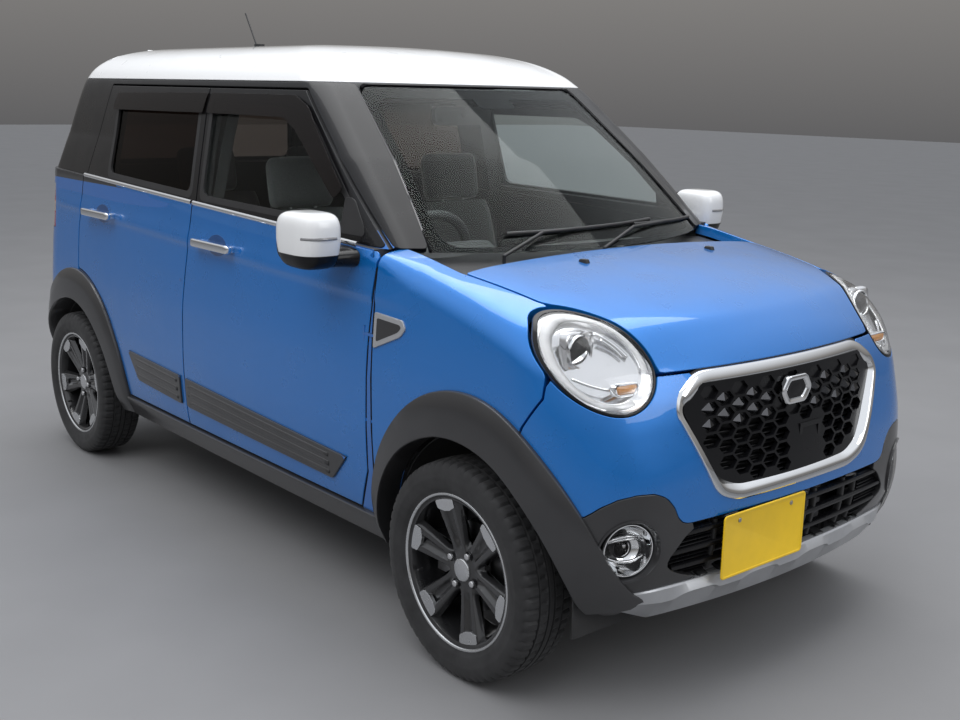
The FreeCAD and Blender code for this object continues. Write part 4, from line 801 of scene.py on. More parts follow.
def flare_out(q, axle, by):
    """Distance outside a flare's outer edge, its legs straight down below the axle height."""
    dx, dz = q[:, 0] - axle - FLARE_SHIFT, np.maximum(q[:, 1] - TYRE_R, 0.0)
    k = np.hypot(dx / (FLARE_A + by), dz / (FLARE_B + by))
    return (k - 1.0) * np.hypot(dx, dz) / np.maximum(k, 1e-6)


UPPER_P = upper_grid()
UPPER_N = grid_normals(UPPER_P, True)
RIGHT_HALF = UPPER_P.shape[1] // 2 + 1
FLANK = side_chart(-1.66, 0.86, 0.245, 1.15)                          # lower body, right side
CABIN_SIDE = Chart(UPPER_P[:, :RIGHT_HALF], UPPER_N[:, :RIGHT_HALF])
CABIN_ALL = Chart(*(np.concatenate([a, a[:, :1]], 1) for a in (UPPER_P, UPPER_N)))
NOSE = end_chart((1.15, 0.0, 0.60), 1.0, 76.0, -42.0, 42.0)
TAIL = end_chart((-1.15, 0.0, 0.75), -1.0, 76.0, -44.0, 52.0)


# ---------------------------------------------------------------- simple forms
def strip(line, offset, width, height, mat=0, up=(0, 0, 1), out=(0, -1, 0)):
    """Rounded bar along a line of points; offset, width and height in its own frame."""
    line = np.asarray(line, float)
    profile = [(-0.5, -0.5), (0.15, -0.5), (0.42, -0.3), (0.5, 0.0), (0.42, 0.3), (0.15, 0.5), (-0.5, 0.5)]
    along = unit(np.gradient(line, axis=0))
    out_v = np.broadcast_to(np.asarray(out, float), line.shape)
    out_v = unit(out_v - along * np.sum(out_v * along, axis=1, keepdims=True))
    up_v = np.cross(out_v, along)
    up_v *= np.sign(np.sum(up_v * np.asarray(up, float), axis=1, keepdims=True) + 1e-9)
    v = np.concatenate([line + out_v * (offset + a * width) + up_v * b * height for a, b in profile])
    k, m = len(line), len(profile)
    f = quads(m, k, closed=True) + [[i * k for i in range(m)], [i * k + k - 1 for i in reversed(range(m))]]
    return Mesh().add(v, f, None, mat).faced(0, v[0] - line[0])


def done(mesh, name, ride, mats, replaces=(), sharp=38.0):
    obj = mesh.object(name, mats, sharp)
    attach(obj, ride)
    if replaces:
        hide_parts(*replaces)
    return obj


def two_sides(part, name, ride, mats, replaces=()):
    """A right-hand piece and its mirror image, each on its own body."""
    for side, flip in (("_right", False), ("_left", True)):
        done(Mesh().join(part, mirror=flip), name + side, ride + side, mats, [r + side for r in replaces])


def from_bm(bm, mat=None):
    bm.verts.index_update()
    out = Mesh().add([tuple(v.co) for v in bm.verts], [[v.index for v in face.verts] for face in bm.faces])
    out.m = [face.material_index if mat is None else mat for face in bm.faces]
    bm.free()
    return out


def outward(mesh):
    """Same mesh with its faces turned outward."""
    bm = bmesh.new()
    verts = [bm.verts.new(p) for p in np.concatenate(mesh.v)]
    for face, m in zip(mesh.f, mesh.m):
        bm.faces.new([verts[i] for i in face]).material_index = m
    bmesh.ops.recalc_face_normals(bm, faces=bm.faces)
    return from_bm(bm)


def solid(outline, axes, low, high, bevel, segments=2, mat=0, taper=1.0):
    """Prism of a flat outline along the third axis, edges rounded; taper scales the high end."""
    outline = np.asarray(outline, float)
    mid = outline.mean(axis=0)
    rings = []
    for h, k in ((low, 1.0), (high, taper)):
        v = np.full((len(outline), 3), h, float)
        v[:, list(axes)] = mid + (outline - mid) * k
        rings.append(v)
    n = len(outline)
    bm = bmesh.new()
    verts = [bm.verts.new(p) for p in np.concatenate(rings)]
    for face in [range(n)[::-1], range(n, 2 * n), *quads(2, n, ring_=True)]:
        bm.faces.new([verts[i] for i in face])
    bmesh.ops.recalc_face_normals(bm, faces=bm.faces)
    bmesh.ops.bevel(bm, geom=list(bm.edges), offset=bevel, segments=segments, affect="EDGES", profile=0.6,
                    clamp_overlap=True)
    return from_bm(bm, mat)


def box(x0, x1, y0, y1, z0, z1, bevel=0.003, segments=2, mat=0):
    return solid([(x0, y0), (x1, y0), (x1, y1), (x0, y1)], (0, 1), z0, z1, bevel, segments, mat)


def frame_at(at, axis):
    """Matrix whose X runs along the axis."""
    x = Vector(axis).normalized()
    y = Vector((0, 0, 1)).cross(x)
    y = y.normalized() if y.length > 1e-4 else Vector((0, 1, 0))
    m = Matrix((x, y, x.cross(y))).transposed().to_4x4()
    m.translation = Vector(at)
    return m


def lathe(profile, count, mat, matrix):
    """Turned piece about X from (radius, along) points in mm; outside to the left of rising 'along'."""
    a = np.linspace(0, 2 * math.pi, count, endpoint=False)
    prof = mm(*profile)
    v = np.stack([np.repeat(prof[:, 1], count), np.outer(prof[:, 0], np.cos(a)).ravel(),
                  np.outer(prof[:, 0], np.sin(a)).ravel()], 1)
    f = []
    for i, q in enumerate(quads(len(prof), count, ring_=True)):
        if prof[i // count, 0] < 1e-7:
            q = (q[0], q[2], q[3])
        elif prof[i // count + 1, 0] < 1e-7:
            q = (q[0], q[1], q[3])
        f.append(q)
    return Mesh().join(Mesh().add(v, f, None, mat), matrix=matrix)


def tube(points, radius, sides, mat, closed=False):
    pts = np.asarray(points, float)
    k = len(pts)
    along = unit((np.roll(pts, -1, 0) - np.roll(pts, 1, 0)) if closed else np.gradient(pts, axis=0))
    side = np.cross(along[0], (0.0, 0.0, 1.0) if abs(along[0][2]) < 0.9 else (0.0, 1.0, 0.0))
    ang = np.linspace(0, 2 * math.pi, sides, endpoint=False)[:, None]
    v = []
    for p, t, r in zip(pts, along, np.broadcast_to(radius, (k,))):
        side = unit(side - t * (side @ t))
        v.append(p + r * (np.cos(ang) * side + np.sin(ang) * np.cross(t, side)))
    f = quads(k, sides, ring_=True, closed=closed)
    if not closed:
        f += [range(sides)[::-1], range((k - 1) * sides, k * sides)]
    return Mesh().add(np.concatenate(v), f, None, mat)


def loft(rings, mat=0, caps=True, closed=True):
    """Skin over rings of equal point counts."""
    k, m = len(rings), len(rings[0])
    f = quads(k, m, ring_=closed)
    if caps:
        f += [range(m)[::-1], range((k - 1) * m, k * m)]
    return Mesh().add(np.concatenate(rings), f, None, mat)


def rounded_ring(pts, r, n=5):
    """Closed outline with its corners rounded by arcs."""
    pts = np.asarray(pts, float)
    out = []
    for p, before, after in zip(pts, np.roll(pts, 1, 0), np.roll(pts, -1, 0)):
        a, b = before - p, after - p
        k = min(r, 0.45 * np.linalg.norm(a), 0.45 * np.linalg.norm(b))
        out += [p + unit(a) * k * (1 - t) ** 2 + unit(b) * k * t ** 2 for t in np.linspace(0, 1, n)]
    return np.array(out)


def winding(pts):
    nxt = np.roll(pts, -1, axis=0)
    return np.sign(np.sum(pts[:, 0] * nxt[:, 1] - nxt[:, 0] * pts[:, 1]))


def inset(pts, by):
    """Closed outline moved in, corner by corner; positive by shrinks it."""
    out = []
    for p, before, after in zip(pts, np.roll(pts, 1, 0), np.roll(pts, -1, 0)):
        a, b = unit(p - before), unit(after - p)
        m = np.array((-a[1] - b[1], a[0] + b[0]))
        out.append(p + winding(pts) * m * by / max(0.25, 0.5 * (m @ m)))
    return np.array(out)


def power(t, e):
    return np.sign(t) * np.abs(t) ** e


def shot(start, direction, far=0.6, lift=0.0):
    """Points where rays in one direction leave the lower body, lifted along its normals, and those."""
    q = cast(start, direction, 0.0, far)
    n = body_normal(q)
    return q + n * lift, n


# ---------------------------------------------------------------- doors
def door(outline, window, cut_flare):
    low = [poly(FLANK.side, outline), belt(FLANK.x) - BELT_GAP - FLANK.z]
    if cut_flare:
        low.append(flare_out(FLANK.side, AXLE_R, 0.008))
    c = CABIN_SIDE
    high = [poly(c.side, outline), c.z - belt(c.x) - WAIST_GAP, -convex(c.side, window, 0.030),
            -c.y - FLANK_Y]
    return panel(FLANK, meet(low, 0.004), off=SKIN_OFF, thick=0.007).join(
        panel(c, meet(high), off=0.003, thick=0.020, mat=1))


PAINTED = [BLUE, GLOSS_BLACK]
two_sides(door(FRONT_DOOR, FRONT_WINDOW, False), "door_skin_front", "front_door", PAINTED)
two_sides(door(REAR_DOOR, REAR_WINDOW, True), "door_skin_rear", "rear_door", PAINTED)


# ---------------------------------------------------------------- wings, bonnet, bumper
def wing():
    c = wing_chart(0.80, 1.46, -36.0, 66.0)
    g = meet([poly(c.side, WING_SEAM), -poly(c.plan, BONNET_PLAN) - SHUT, -c.y - 0.42,
              lamp_gap(c.pts, LAMP_C, LAMP_DIR, LAMP_R + 0.001), wheel_gap(c.side, AXLE_F), c.z - SEAM_Z,
              np.maximum(c.x - 1.052, -c.y - 0.604)])
    return panel(c, g, thick=0.030, inner=1)


def bonnet():
    c = plan_chart(1.04, 1.70, -0.62, 0.62)
    g = meet([poly(c.plan, BONNET_PLAN), c.z - BONNET_FOOT,
              lamp_gap(c.pts, LAMP_C, LAMP_DIR, LAMP_R + SHUT)], 0.004)
    return panel(c, g, thick=0.028, inner=1)


def nose_panel(parts):
    c = NOSE
    shared = [poly(c.side, NOSE_SEAM), -meet([poly(c.plan, BONNET_PLAN) + SHUT, c.z - BONNET_FOOT + SHUT]),
              wheel_gap(c.side, AXLE_F), lamp_gap(c.pts, LAMP_C, LAMP_DIR, LAMP_R + 0.001),
              -convex(c.front, GRILLE, 0.03)]
    return panel(c, meet(shared + parts), thick=0.030, inner=1)


PAINT_GAP = poly(NOSE.front, PAINT_EDGE)
done(both(wing()), "wing_skins", "body", [BLUE, UNDER], ["wings"])
done(bonnet(), "bonnet_skin", "bonnet", [BLUE, UNDER], ["bonnet"])
done(nose_panel([PAINT_GAP]), "bumper_skin", "body", [BLUE, UNDER], ["bumper_front"])
done(nose_panel([-PAINT_GAP - 0.001, NOSE.z - SILL_Z - 0.002, -poly(NOSE.front, SKID),
                 -convex(NOSE.front, INTAKE, 0.03), lamp_gap(NOSE.pts, FOG_C, FOG_DIR, FOG_R)]),
     "bumper_cladding_skin", "body", [CLAD, UNDER], ["bumper_cladding"])


# ---------------------------------------------------------------- front end: lamps
def on_nose(yz, lift=0.0):
    """Points of the nose straight ahead of (y, z) pairs, and the normals there."""
    return shot(np.column_stack([np.full(len(yz), 1.20), yz]), (1.0, 0.0, 0.0), lift=lift)


class Disc:
    """Body surface over a disc seen along a lamp's direction."""
    TURNS = 96

    def __init__(self, centre, direction, radius, count, back):
        self.centre, self.d, self.reach, self.count, self.back = centre, direction, radius, count, back
        m = np.array(frame_at((0, 0, 0), direction).to_3x3())
        self.u, self.w = m[:, 1], m[:, 2]
        self.r, a = mesh_over(0.0004, radius, count, 0, 2 * math.pi, self.TURNS + 1)
        off = np.cos(a)[..., None] * self.u + np.sin(a)[..., None] * self.w
        start = centre - direction * back + self.r[..., None] * off
        self.chart = rays(start, np.broadcast_to(direction, start.shape), 0.0, 0.50)

    def at(self, r, depth):
        """Ring of the surface at a radius, sunk by a depth."""
        return self.chart.p[int(round(r / self.reach * (self.count - 1))), :-1] - self.d * depth

    def bowl(self, levels, mat):
        return loft([self.at(r * MM, depth * MM) for r, depth in levels], mat, caps=False)

    def sunk(self, a, b, depth):
        """Point below the surface at (a, b) from the centre."""
        start = self.centre + self.u * a + self.w * b - self.d * self.back
        return cast(start[None], self.d, 0.0, 0.5)[0] - self.d * depth

    def placed(self, outline, origin, height, scale=1.0):
        return [origin + (self.u * a + self.w * b) * scale + self.d * height for a, b in outline]


def half_ball(radius, at, axis, mat, flatten, count=40):
    a = np.radians(np.linspace(0, 90, 12))
    prof = [(radius * math.cos(t), radius * flatten * math.sin(t)) for t in a]
    return lathe(prof[:-1] + [(0.0, radius * flatten)], count, mat, frame_at(at, axis))


def headlamp():
    """0 lens, 1 black seal, 2 reflector, 3 light guide, 4 chrome, 5 black, 6 amber, 7 projector glass."""
    lamp = Disc(LAMP_C, LAMP_DIR, LAMP_R - 0.0015, 60, 0.20)
    c, r, d = lamp.chart, lamp.r, lamp.d
    out = panel(c, LAMP_R - 0.0062 - r, off=-0.0015, thick=0.0030, edge=0.0008, inner=0)
    seal = np.minimum(r - (LAMP_R - 0.0070), LAMP_R - 0.0012 - r)
    out.join(panel(c, seal, off=-0.0010, thick=0.016, edge=0.0012, mat=1))
    rim_ = LAMP_R / MM - 6.2
    out.join(lamp.bowl([(rim_, 6), (rim_, 16), (100, 30), (88, 38), (70, 50), (45, 62), (20, 66),
                        (0, 67)], 2))
    # white guide: a broad band round the rim, open at the inner lower side, with a bright inner edge
    run = [j % Disc.TURNS for j in range(92, Disc.TURNS + 79)]
    rows = [lamp.at(a, depth)[run] for a, depth in ((0.1035, 0.013), (0.1015, 0.007), (0.0900, 0.010),
                                                    (0.0885, 0.020))]
    out.join(Mesh().add(np.stack(rows, 1), quads(len(run), 4), None, 3).faced(1, d))
    out.join(tube(lamp.at(0.0885, 0.016)[run], 0.0022, 8, 4))
    # projector, upper and outer of the middle
    base = lamp.sunk(-0.020, 0.024, 0.060)
    seat = frame_at(base, d)
    out.join(lathe([(41, -10), (41, 16), (39.5, 21), (36.5, 21.5), (34.5, 18), (33.5, 6)], 64, 4, seat))
    out.join(lathe([(33.5, 6), (0, 6)], 64, 5, seat))
    out.join(half_ball(32.5, base + d * 0.007, d, 7, 0.62, 48))
    # shroud about the projector, a soft square
    square = rounded_ring(mm((-50, -48), (52, -48), (56, 46), (-46, 50)), 0.020, 8)
    hole = rounded_ring(mm((-41, -41), (41, -41), (41, 41), (-41, 41)), 0.040, 8)
    out.join(loft([lamp.placed(square, base, -0.004), lamp.placed(square, base, 0.012, 0.96),
                   lamp.placed(hole, base, 0.013)], 2, caps=False))
    # brow, wing and lower bar: curves from the first point to the last, drawn to the middle one
    for bend, thick in ((mm((30, 60), (62, 42), (78, 4)), 0.0050), (mm((36, 46), (58, 30), (66, 6)), 0.0030),
                        (mm((-70, -30), (-40, -52), (0, -60)), 0.0035)):
        pts = [lamp.sunk(*((1 - t) ** 2 * bend[0] + 2 * t * (1 - t) * bend[1] + t * t * bend[2]), 0.030)
               for t in np.linspace(0, 1, 18)]
        out.join(tube(pts, thick, 10, 4))
    # side lamp, low and inner
    low = lamp.sunk(0.036, -0.058, 0.022)
    bar = rounded_ring(mm((-40, 10), (-34, -12), (32, -16), (40, 6)), 0.010, 6)
    wide = bar * (1.16, 1.35)
    out.join(loft([lamp.placed(wide, low, -0.012), lamp.placed(wide, low, 0.004),
                   lamp.placed(bar, low, 0.004), lamp.placed(bar, low, -0.004)], 4, caps=False))
    return out.join(loft([lamp.placed(bar, low, -0.002), lamp.placed(bar, low, 0.004, 0.85)], 6))


def fog_lamp():
    """0 cladding bezel, 1 chrome, 2 lens, 3 black."""
    lamp = Disc(FOG_C, FOG_DIR, FOG_R + 0.004, 42, 0.25)
    d = lamp.d
    out = lamp.bowl([(81, 4), (81, -3), (79, -5.5), (76.5, -5), (68, 12), (66.5, 30)], 0)
    seat = lamp.sunk(0.0, 0.0, 0.026)
    f = frame_at(seat, d)
    out.join(lathe([(65.5, 0), (65.5, 8), (64, 10.5), (61.5, 10.5), (60, 7)], 72, 1, f))
    out.join(lathe([(60, 7), (54, -14), (42, -28), (24, -36), (0, -38)], 72, 1, f))
    out.join(lathe([(60, 6.5), (30, 8.5), (0, 9.2)], 72, 2, f))
    eye = seat - lamp.u * 0.010 - d * 0.020 + lamp.w * 0.002
    out.join(lathe([(25.5, -12), (25.5, 10), (23.5, 12.5), (20.5, 11)], 48, 3, frame_at(eye, d)))
    out.join(half_ball(20.5, eye + d * 0.009, d, 2, 0.55))
    for z, bow, thick in ((0.031, 0.010, 0.0042), (-0.031, -0.010, 0.0042), (0.024, 0.006, 0.0026)):
        pts = [seat + lamp.u * t + lamp.w * (z - bow * (t / 0.044) ** 2)
               - d * (0.004 + 0.010 * (t / 0.05) ** 2) for t in np.linspace(-0.044, 0.044, 21)]
        out.join(tube(pts, thick, 10, 1))
    return out


done(both(headlamp()), "headlamp_units", "body",
     [LENS, GLOSS_BLACK, REFLECTOR, LIGHT_GUIDE, CHROME, BLACK, AMBER, LENS], ["headlamps"],
     42.0)
done(both(fog_lamp()), "fog_lamp_units", "body", [CLAD, CHROME, LENS, BLACK], ["fog_lamps"],
     42.0)


# ---------------------------------------------------------------- grille
def smoothed(values):
    for _ in range(6):
        values = (np.roll(values, 1, 0) + values + np.roll(values, -1, 0)) / 3
    return values


def grille_ring(section, mat):
    """Frame that follows the grille's outline on the nose: section of (share of width, lift)."""
    line = rounded_ring(GRILLE, 0.045, 6)
    outer = []
    for a, b in zip(line, np.roll(line, -1, axis=0)):
        k = max(1, int(np.linalg.norm(b - a) / 0.012))
        outer += [a + (b - a) * t for t in np.linspace(0, 1, k, endpoint=False)]
    outer = np.array(outer)
    t = unit(np.roll(outer, -1, axis=0) - np.roll(outer, 1, axis=0))
    inward = unit(smoothed(np.stack([-t[:, 1], t[:, 0]], 1) * winding(outer)))
    z = outer[:, 1]
    width = smoothed(np.where(z > 0.79, 0.046, np.where(z < 0.58, 0.040, 0.030 - 0.006 * (z - 0.58) / 0.2)))
    rings = []
    for share, lift in section:
        q, n = on_nose(outer + inward * (width * share)[:, None])
        rings.append(q + unit(n * (1, 0.4, 0.4)) * lift)
    return loft(rings, mat, caps=False).faced(len(outer) * 2, (1, 0, 0))


grille_frame = grille_ring([(-0.04, -0.020), (-0.03, -0.001), (0.02, 0.004), (0.10, 0.006), (0.50, 0.0045),
                            (0.62, 0.0020), (0.95, -0.012), (1.0, -0.016), (1.0, -0.040)], 0)
grille_frame.join(grille_ring([(-0.14, -0.016), (-0.13, -0.0020), (-0.03, -0.0020), (-0.02, -0.016)], 1))
done(grille_frame, "grille_surround", "body", [CHROME, GLOSS_BLACK], ["grille_frame"], 30.0)

MESH_X, MESH_LEAN, MESH_BOW = 1.663, math.tan(math.radians(8.3)), 2.530      # front of the solid mesh
PITCH_Y, PITCH_Z = 0.051, 0.039
BADGE_Z = 0.766


def mesh_x(y, z):
    return MESH_X - (z - 0.685) * MESH_LEAN - y * y / (2 * MESH_BOW)


def grille_details():
    """Facets on the blind cells, bars and a wall behind, plain badge: 0 dark chrome, 1 black, 2 bright."""
    out = Mesh()
    clip = inset(GRILLE, 0.036)
    hexagon = mm((-30, 0), (-15, -16.5), (15, -16.5), (30, 0), (15, 16.5), (-15, 16.5))
    for col in range(-8, 9):
        for row in range(-1, 9):
            y, z = col * PITCH_Y, 0.560 + row * PITCH_Z + (0.5 * PITCH_Z if col % 2 else 0.0)
            over_badge = abs(y) < 0.090 and abs(z - BADGE_Z) < 0.052
            if z < 0.700 or over_badge or poly(hexagon + (y, z), clip).min() < 0:
                continue
            x, k = mesh_x(y, z), 1.0 if (col + row) % 2 else -1.0
            v = [(x - 0.006, y - 0.029, z), (x - 0.0065, y, z - 0.0155), (x - 0.006, y + 0.029, z),
                 (x - 0.0065, y, z + 0.0155), (x + 0.0035, y + 0.006 * k, z - 0.004)]
            out.add(v, [(0, 1, 4), (1, 2, 4), (2, 3, 4), (3, 0, 4)])
    for z in np.arange(0.552, 0.700, 0.0125):
        half = np.interp(z, [0.525, 0.552, 0.757], [0.22, 0.295, 0.395]) - 0.012
        line = [(mesh_x(y, z) - 0.020, y, z) for y in np.linspace(-half, half, 25)]
        out.join(strip(line, 0.0, 0.010, 0.0045, 1, out=(1, 0, 0)))
    wall = [(mesh_x(y, z) - 0.055, y, z) for z in (0.53, 0.68, 0.83) for y in np.linspace(-0.40, 0.40, 21)]
    out.add(wall, quads(3, 21), None, 1)
    # badge: a six-sided bright ring about a dark plate
    x = mesh_x(0.0, BADGE_Z) + 0.0090
    mid = np.array((0.0, BADGE_Z))
    edge = rounded_ring(mid + mm((-64, 0), (-40, -37), (40, -37), (64, 0), (40, 37), (-40, 37)), 0.012) - mid
    for mat, levels in ((2, ((1.00, -0.008), (1.00, 0.002), (0.96, 0.0050), (0.86, 0.0060), (0.72, 0.0035),
                             (0.66, -0.002), (0.64, -0.004))),
                        (1, ((0.70, -0.006), (0.70, -0.0015), (0.30, 0.0005)))):
        rings = []
        for k, lift in levels:
            tall = 1.0 if k > 0.9 or mat == 1 else k ** 0.25
            rings.append([(x + lift, *(mid + q * (k, k * tall))) for q in edge])
        out.join(outward(loft(rings, mat)))
    return out


done(grille_details(), "grille_facets", "body", [DARK_CHROME, GLOSS_BLACK, CHROME], (), 25.0)


# ---------------------------------------------------------------- intake, skid garnish, plates
def intake():
    """0 black, 1 grey, 2 gloss."""
    out = Mesh()

    def half_at(z):
        return np.interp(z, [0.345, 0.400, 0.488], [0.375, 0.470, 0.392])

    def bar(yz, lift, width, height, mat, up=(0, 0, 1)):
        out.join(strip(on_nose(yz, lift)[0], 0.0, width, height, mat, up, (1, 0, 0)))
    for z in (0.380, 0.425, 0.470):
        bar([(y, z) for y in np.linspace(-half_at(z), half_at(z), 41)], -0.012, 0.018, 0.016, 2)
    for y in (-0.300, -0.200, 0.060, 0.100, 0.240, 0.300):
        bar([(y, z) for z in np.linspace(0.350, 0.486, 9)], -0.016, 0.016, 0.014, 0, (0, 1, 0))
    for side in (-1, 1):
        for z in np.arange(0.352, 0.484, 0.0105):
            bar([(side * y, z) for y in np.linspace(0.315, half_at(z) - 0.006, 9)], -0.018, 0.018, 0.0048, 2)
    # panels and ducts behind
    out.join(box(1.560, 1.566, -0.45, 0.45, 0.340, 0.495, 0.001))
    for y0, y1, mat in ((0.075, 0.150, 1), (0.165, 0.235, 1), (-0.290, -0.215, 1), (-0.46, -0.33, 0),
                        (0.33, 0.46, 0)):
        for z0, z1 in ((0.356, 0.412), (0.424, 0.478)):
            out.join(box(1.600, 1.606, y0, y1, z0, z1, mat=mat))
    return out


def skid():
    """Bright bar under the intake: a broad upper face and a scalloped lower face."""
    ys = np.linspace(-0.532, 0.532, 141)
    spots, lifts = [], []
    for y in ys:
        a = abs(y)
        end = np.clip((0.532 - a) / 0.075, 0, 1)
        top, low = 0.340 - 0.004 * (1 - end), 0.246 + 0.030 * (1 - end)
        sc = max(float(np.clip(1 - ((a - c) / 0.075) ** 4, 0, 1)) for c in (0.115, 0.345))
        mid = 0.298 + 0.016 * sc
        for z, lift in ((top, -0.018), (top, 0.004), (top - 0.004, 0.0095),
                        (mid + 0.004, 0.026 - 0.001 * sc), (mid - 0.003, 0.024 - 0.008 * sc),
                        (low + 0.006, 0.032), (low, 0.026), (low, -0.018)):
            spots.append((y, max(z, 0.246)))
            lifts.append(lift * (0.45 + 0.55 * end))
    q = on_nose(spots)[0] + np.outer(lifts, (1.0, 0.0, 0.0))
    return outward(loft(list(q.reshape(len(ys), 8, 3))))


def plate(yc, zc, x, sign):
    """Blank number plate: 0 yellow, 1 black, 2 steel."""
    mid, half = np.array((yc, zc)), np.array((0.165, 0.0825))
    edge = rounded_ring(mid + half * ((-1, -1), (1, -1), (1, 1), (-1, 1)), 0.012, 7)
    levels = ((0, -1.4), (0, 0.6), (1.2, 2.0), (5.0, 2.0), (6.6, 0.6), (8.0, 0.0))        # mm in, mm out
    out = outward(loft([[(x + sign * dx * MM, *(mid + (q - mid) * (half - by * MM) / half)) for q in edge]
                        for by, dx in levels]))
    for dy in (-0.105, 0.105):
        spot = frame_at((x, yc + dy, zc + 0.062), (sign, 0, 0))
        out.join(lathe([(6.2, 0), (6.2, 1.6), (4.5, 2.6), (0, 3)], 6, 2, spot))
    return out


PLATE_MATS = [PLATE, BLACK, STEEL]
front_plate = plate(-0.136, 0.4155, 1.6944, 1.0)
front_plate.join(box(1.650, 1.692, -0.196, -0.076, 0.372, 0.462, 0.004, mat=1))
rear_low, rear_high = (np.array(end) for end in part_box("number_plate_rear"))
_, rear_y, rear_z = 0.5 * (rear_low + rear_high)
rear_plate = plate(rear_y, rear_z, rear_low[0] + 0.0022, -1.0)
done(intake(), "intake_bars", "body", [BLACK, DUCT, GLOSS_BLACK], ["intake_grille"])
done(skid(), "skid_bar", "body", [SILVER], ["skid_plate"], 24.0)
done(front_plate, "plate_front", "body", PLATE_MATS, ["number_plate_front"])
done(rear_plate, "plate_rear", "tailgate", PLATE_MATS, ["number_plate_rear"])


# ---------------------------------------------------------------- glass, pillars and side trim
def pillars():
    c = CABIN_SIDE
    front = np.where(c.x > SCREEN_X, -poly(c.front, SCREEN) - 0.004, 9.0)
    gate_ = np.where(c.x < GATE_X, -poly(c.front, GATE) - SHUT, 9.0)
    g = meet([-poly(c.side, FRONT_DOOR) - SHUT, -poly(c.side, REAR_DOOR) - SHUT, c.z - belt(c.x) - WAIST_GAP,
              RAIL_Z + 0.002 - c.z, front, gate_, -0.02 - c.y])
    return panel(c, g, off=0.0012, thick=0.018)


def windscreen():
    """0 glass, 1 printed border: pane, border inside it, seal and the patch of a camera box."""
    c = CABIN_ALL
    ahead = c.x - SCREEN_X
    pane = meet([convex(c.front, SCREEN_GLASS, 0.04), ahead])
    out = panel(c, pane, off=-0.0045, thick=0.0045, edge=0.0012, inner=0)
    frit = meet([pane - 0.001, -convex(c.front, inset(SCREEN_GLASS, 0.030), 0.05), ahead])
    out.join(panel(c, frit, off=-0.0098, thick=0.0008, edge=0.0002, mat=1))
    seal = meet([convex(c.front, inset(SCREEN_GLASS, -0.0075), 0.045), -pane - 0.0005, ahead])
    out.join(panel(c, seal, off=-0.0015, thick=0.010, edge=0.0012, mat=1))
    patch = meet([pane - 0.002, c.z - 1.440, 0.075 - np.abs(c.y), ahead])
    return out.join(panel(c, patch, off=-0.0102, thick=0.0008, edge=0.0002, mat=1))


def side_glass(window, sail=None):
    """Pane and the black seal about it; sail: black triangle at the foot of the front pillar."""
    c = CABIN_SIDE
    flank_ = -FLANK_Y - c.y
    pane = np.minimum(convex(c.side, inset(window, -0.004), 0.030), flank_)
    out = panel(c, pane, off=-0.0050, thick=0.0040, edge=0.0008, inner=0)
    seal = meet([convex(c.side, inset(window, -0.007), 0.030), -convex(c.side, inset(window, 0.014), 0.026),
                 flank_])
    out.join(panel(c, seal, off=0.0035, thick=0.012, edge=0.0008, mat=1))
    if sail is not None:
        out.join(panel(c, np.minimum(convex(c.side, sail, 0.010), flank_), off=0.0045, thick=0.010,
                       edge=0.0015, mat=1))
    return out


def visor(shape):
    """Rain visor that stands off more toward its lower edge."""
    c = CABIN_SIDE
    lift = 0.0060 + 0.0120 * np.sqrt(np.clip((1.462 - c.p[..., 2]) / 0.09, 0, 1))
    g = np.minimum(poly(c.side, shape), -FLANK_Y - c.y)
    return panel(Chart(c.p + c.n * lift[..., None], c.n), g, thick=0.0022, edge=0.0008, inner=0)


def flank(xz, lift=0.0):
    """Points of the right flank at (x, z) pairs, and the normals there."""
    x, z = np.transpose(xz)
    return shot(np.column_stack([x, np.full(len(x), -0.02), z]), (0.0, -1.0, 0.0), 1.0, lift)


def belt_strip(x0, x1):
    xs = np.linspace(x0, x1, max(8, int(abs(x1 - x0) / 0.03)))
    line = flank([(x, belt(x) - 0.018) for x in xs])[0]
    line[:, 2] = belt(xs) + 0.0035
    return strip(line, -0.002, 0.013, 0.015)


def turn_of(count):
    a = np.linspace(0, 2 * math.pi, count, endpoint=False)
    return np.cos(a), np.sin(a)


def handle(x0, x1, z):
    """Bar on two feet, with a shallow cup behind it painted darker blue as shade: 0 chrome, 1 painted shade.
    """
    c, s = turn_of(20)
    rings = []
    for k in np.linspace(0, 1, 25):
        end = np.clip(1 - min(k, 1 - k) * 24, 0, 1) ** 2
        y_out = -0.7410 + 0.004 * end
        rings.append(np.column_stack([np.full(20, x0 - 0.004 + (x1 - x0 + 0.008) * k),
                                      0.5 * (y_out - 0.7212) + 0.5 * (y_out + 0.7212) * power(c, 0.55),
                                      z + 0.0138 * (1 - 0.35 * end) * power(s, 0.55)]))
    out = outward(loft(rings))
    for x in (x0 + 0.016, x1 - 0.016):
        skin = flank([(x, z)])[0][0][1]
        out.join(box(x - 0.0150, x + 0.0150, -0.7235, skin + 0.004, z - 0.0100, z + 0.0100))
    # the cup: a thin patch on the door skin, painted darker blue as the handle's shade
    cup = 0.03 * (1.0 - ((FLANK.x - 0.5 * (x0 + x1)) / 0.062) ** 2 - ((FLANK.z - z) / 0.034) ** 2)
    return out.join(panel(FLANK, cup, off=0.0016, thick=0.002, edge=0.0004, mat=1))


def garnish(shape, x0, x1):
    """Plate at the door's foot with three ribs along it."""
    g = convex(FLANK.side, inset(shape, -0.0012), 0.008)
    out = panel(FLANK, g, off=0.0082, thick=0.010, edge=0.0030)
    xs = np.linspace(x0, x1, 40)
    low, top = (np.interp(xs, *np.array(sorted((shape[i], shape[j]), key=lambda q: q[0])).T)
                for i, j in ((0, 3), (1, 2)))
    for share, h in ((0.20, 0.012), (0.50, 0.016), (0.80, 0.012)):
        line = flank(np.column_stack([xs, low + (top - low) * share]), 0.0078)[0]
        out.join(strip(line, 0.0, 0.0065, h))
    return out


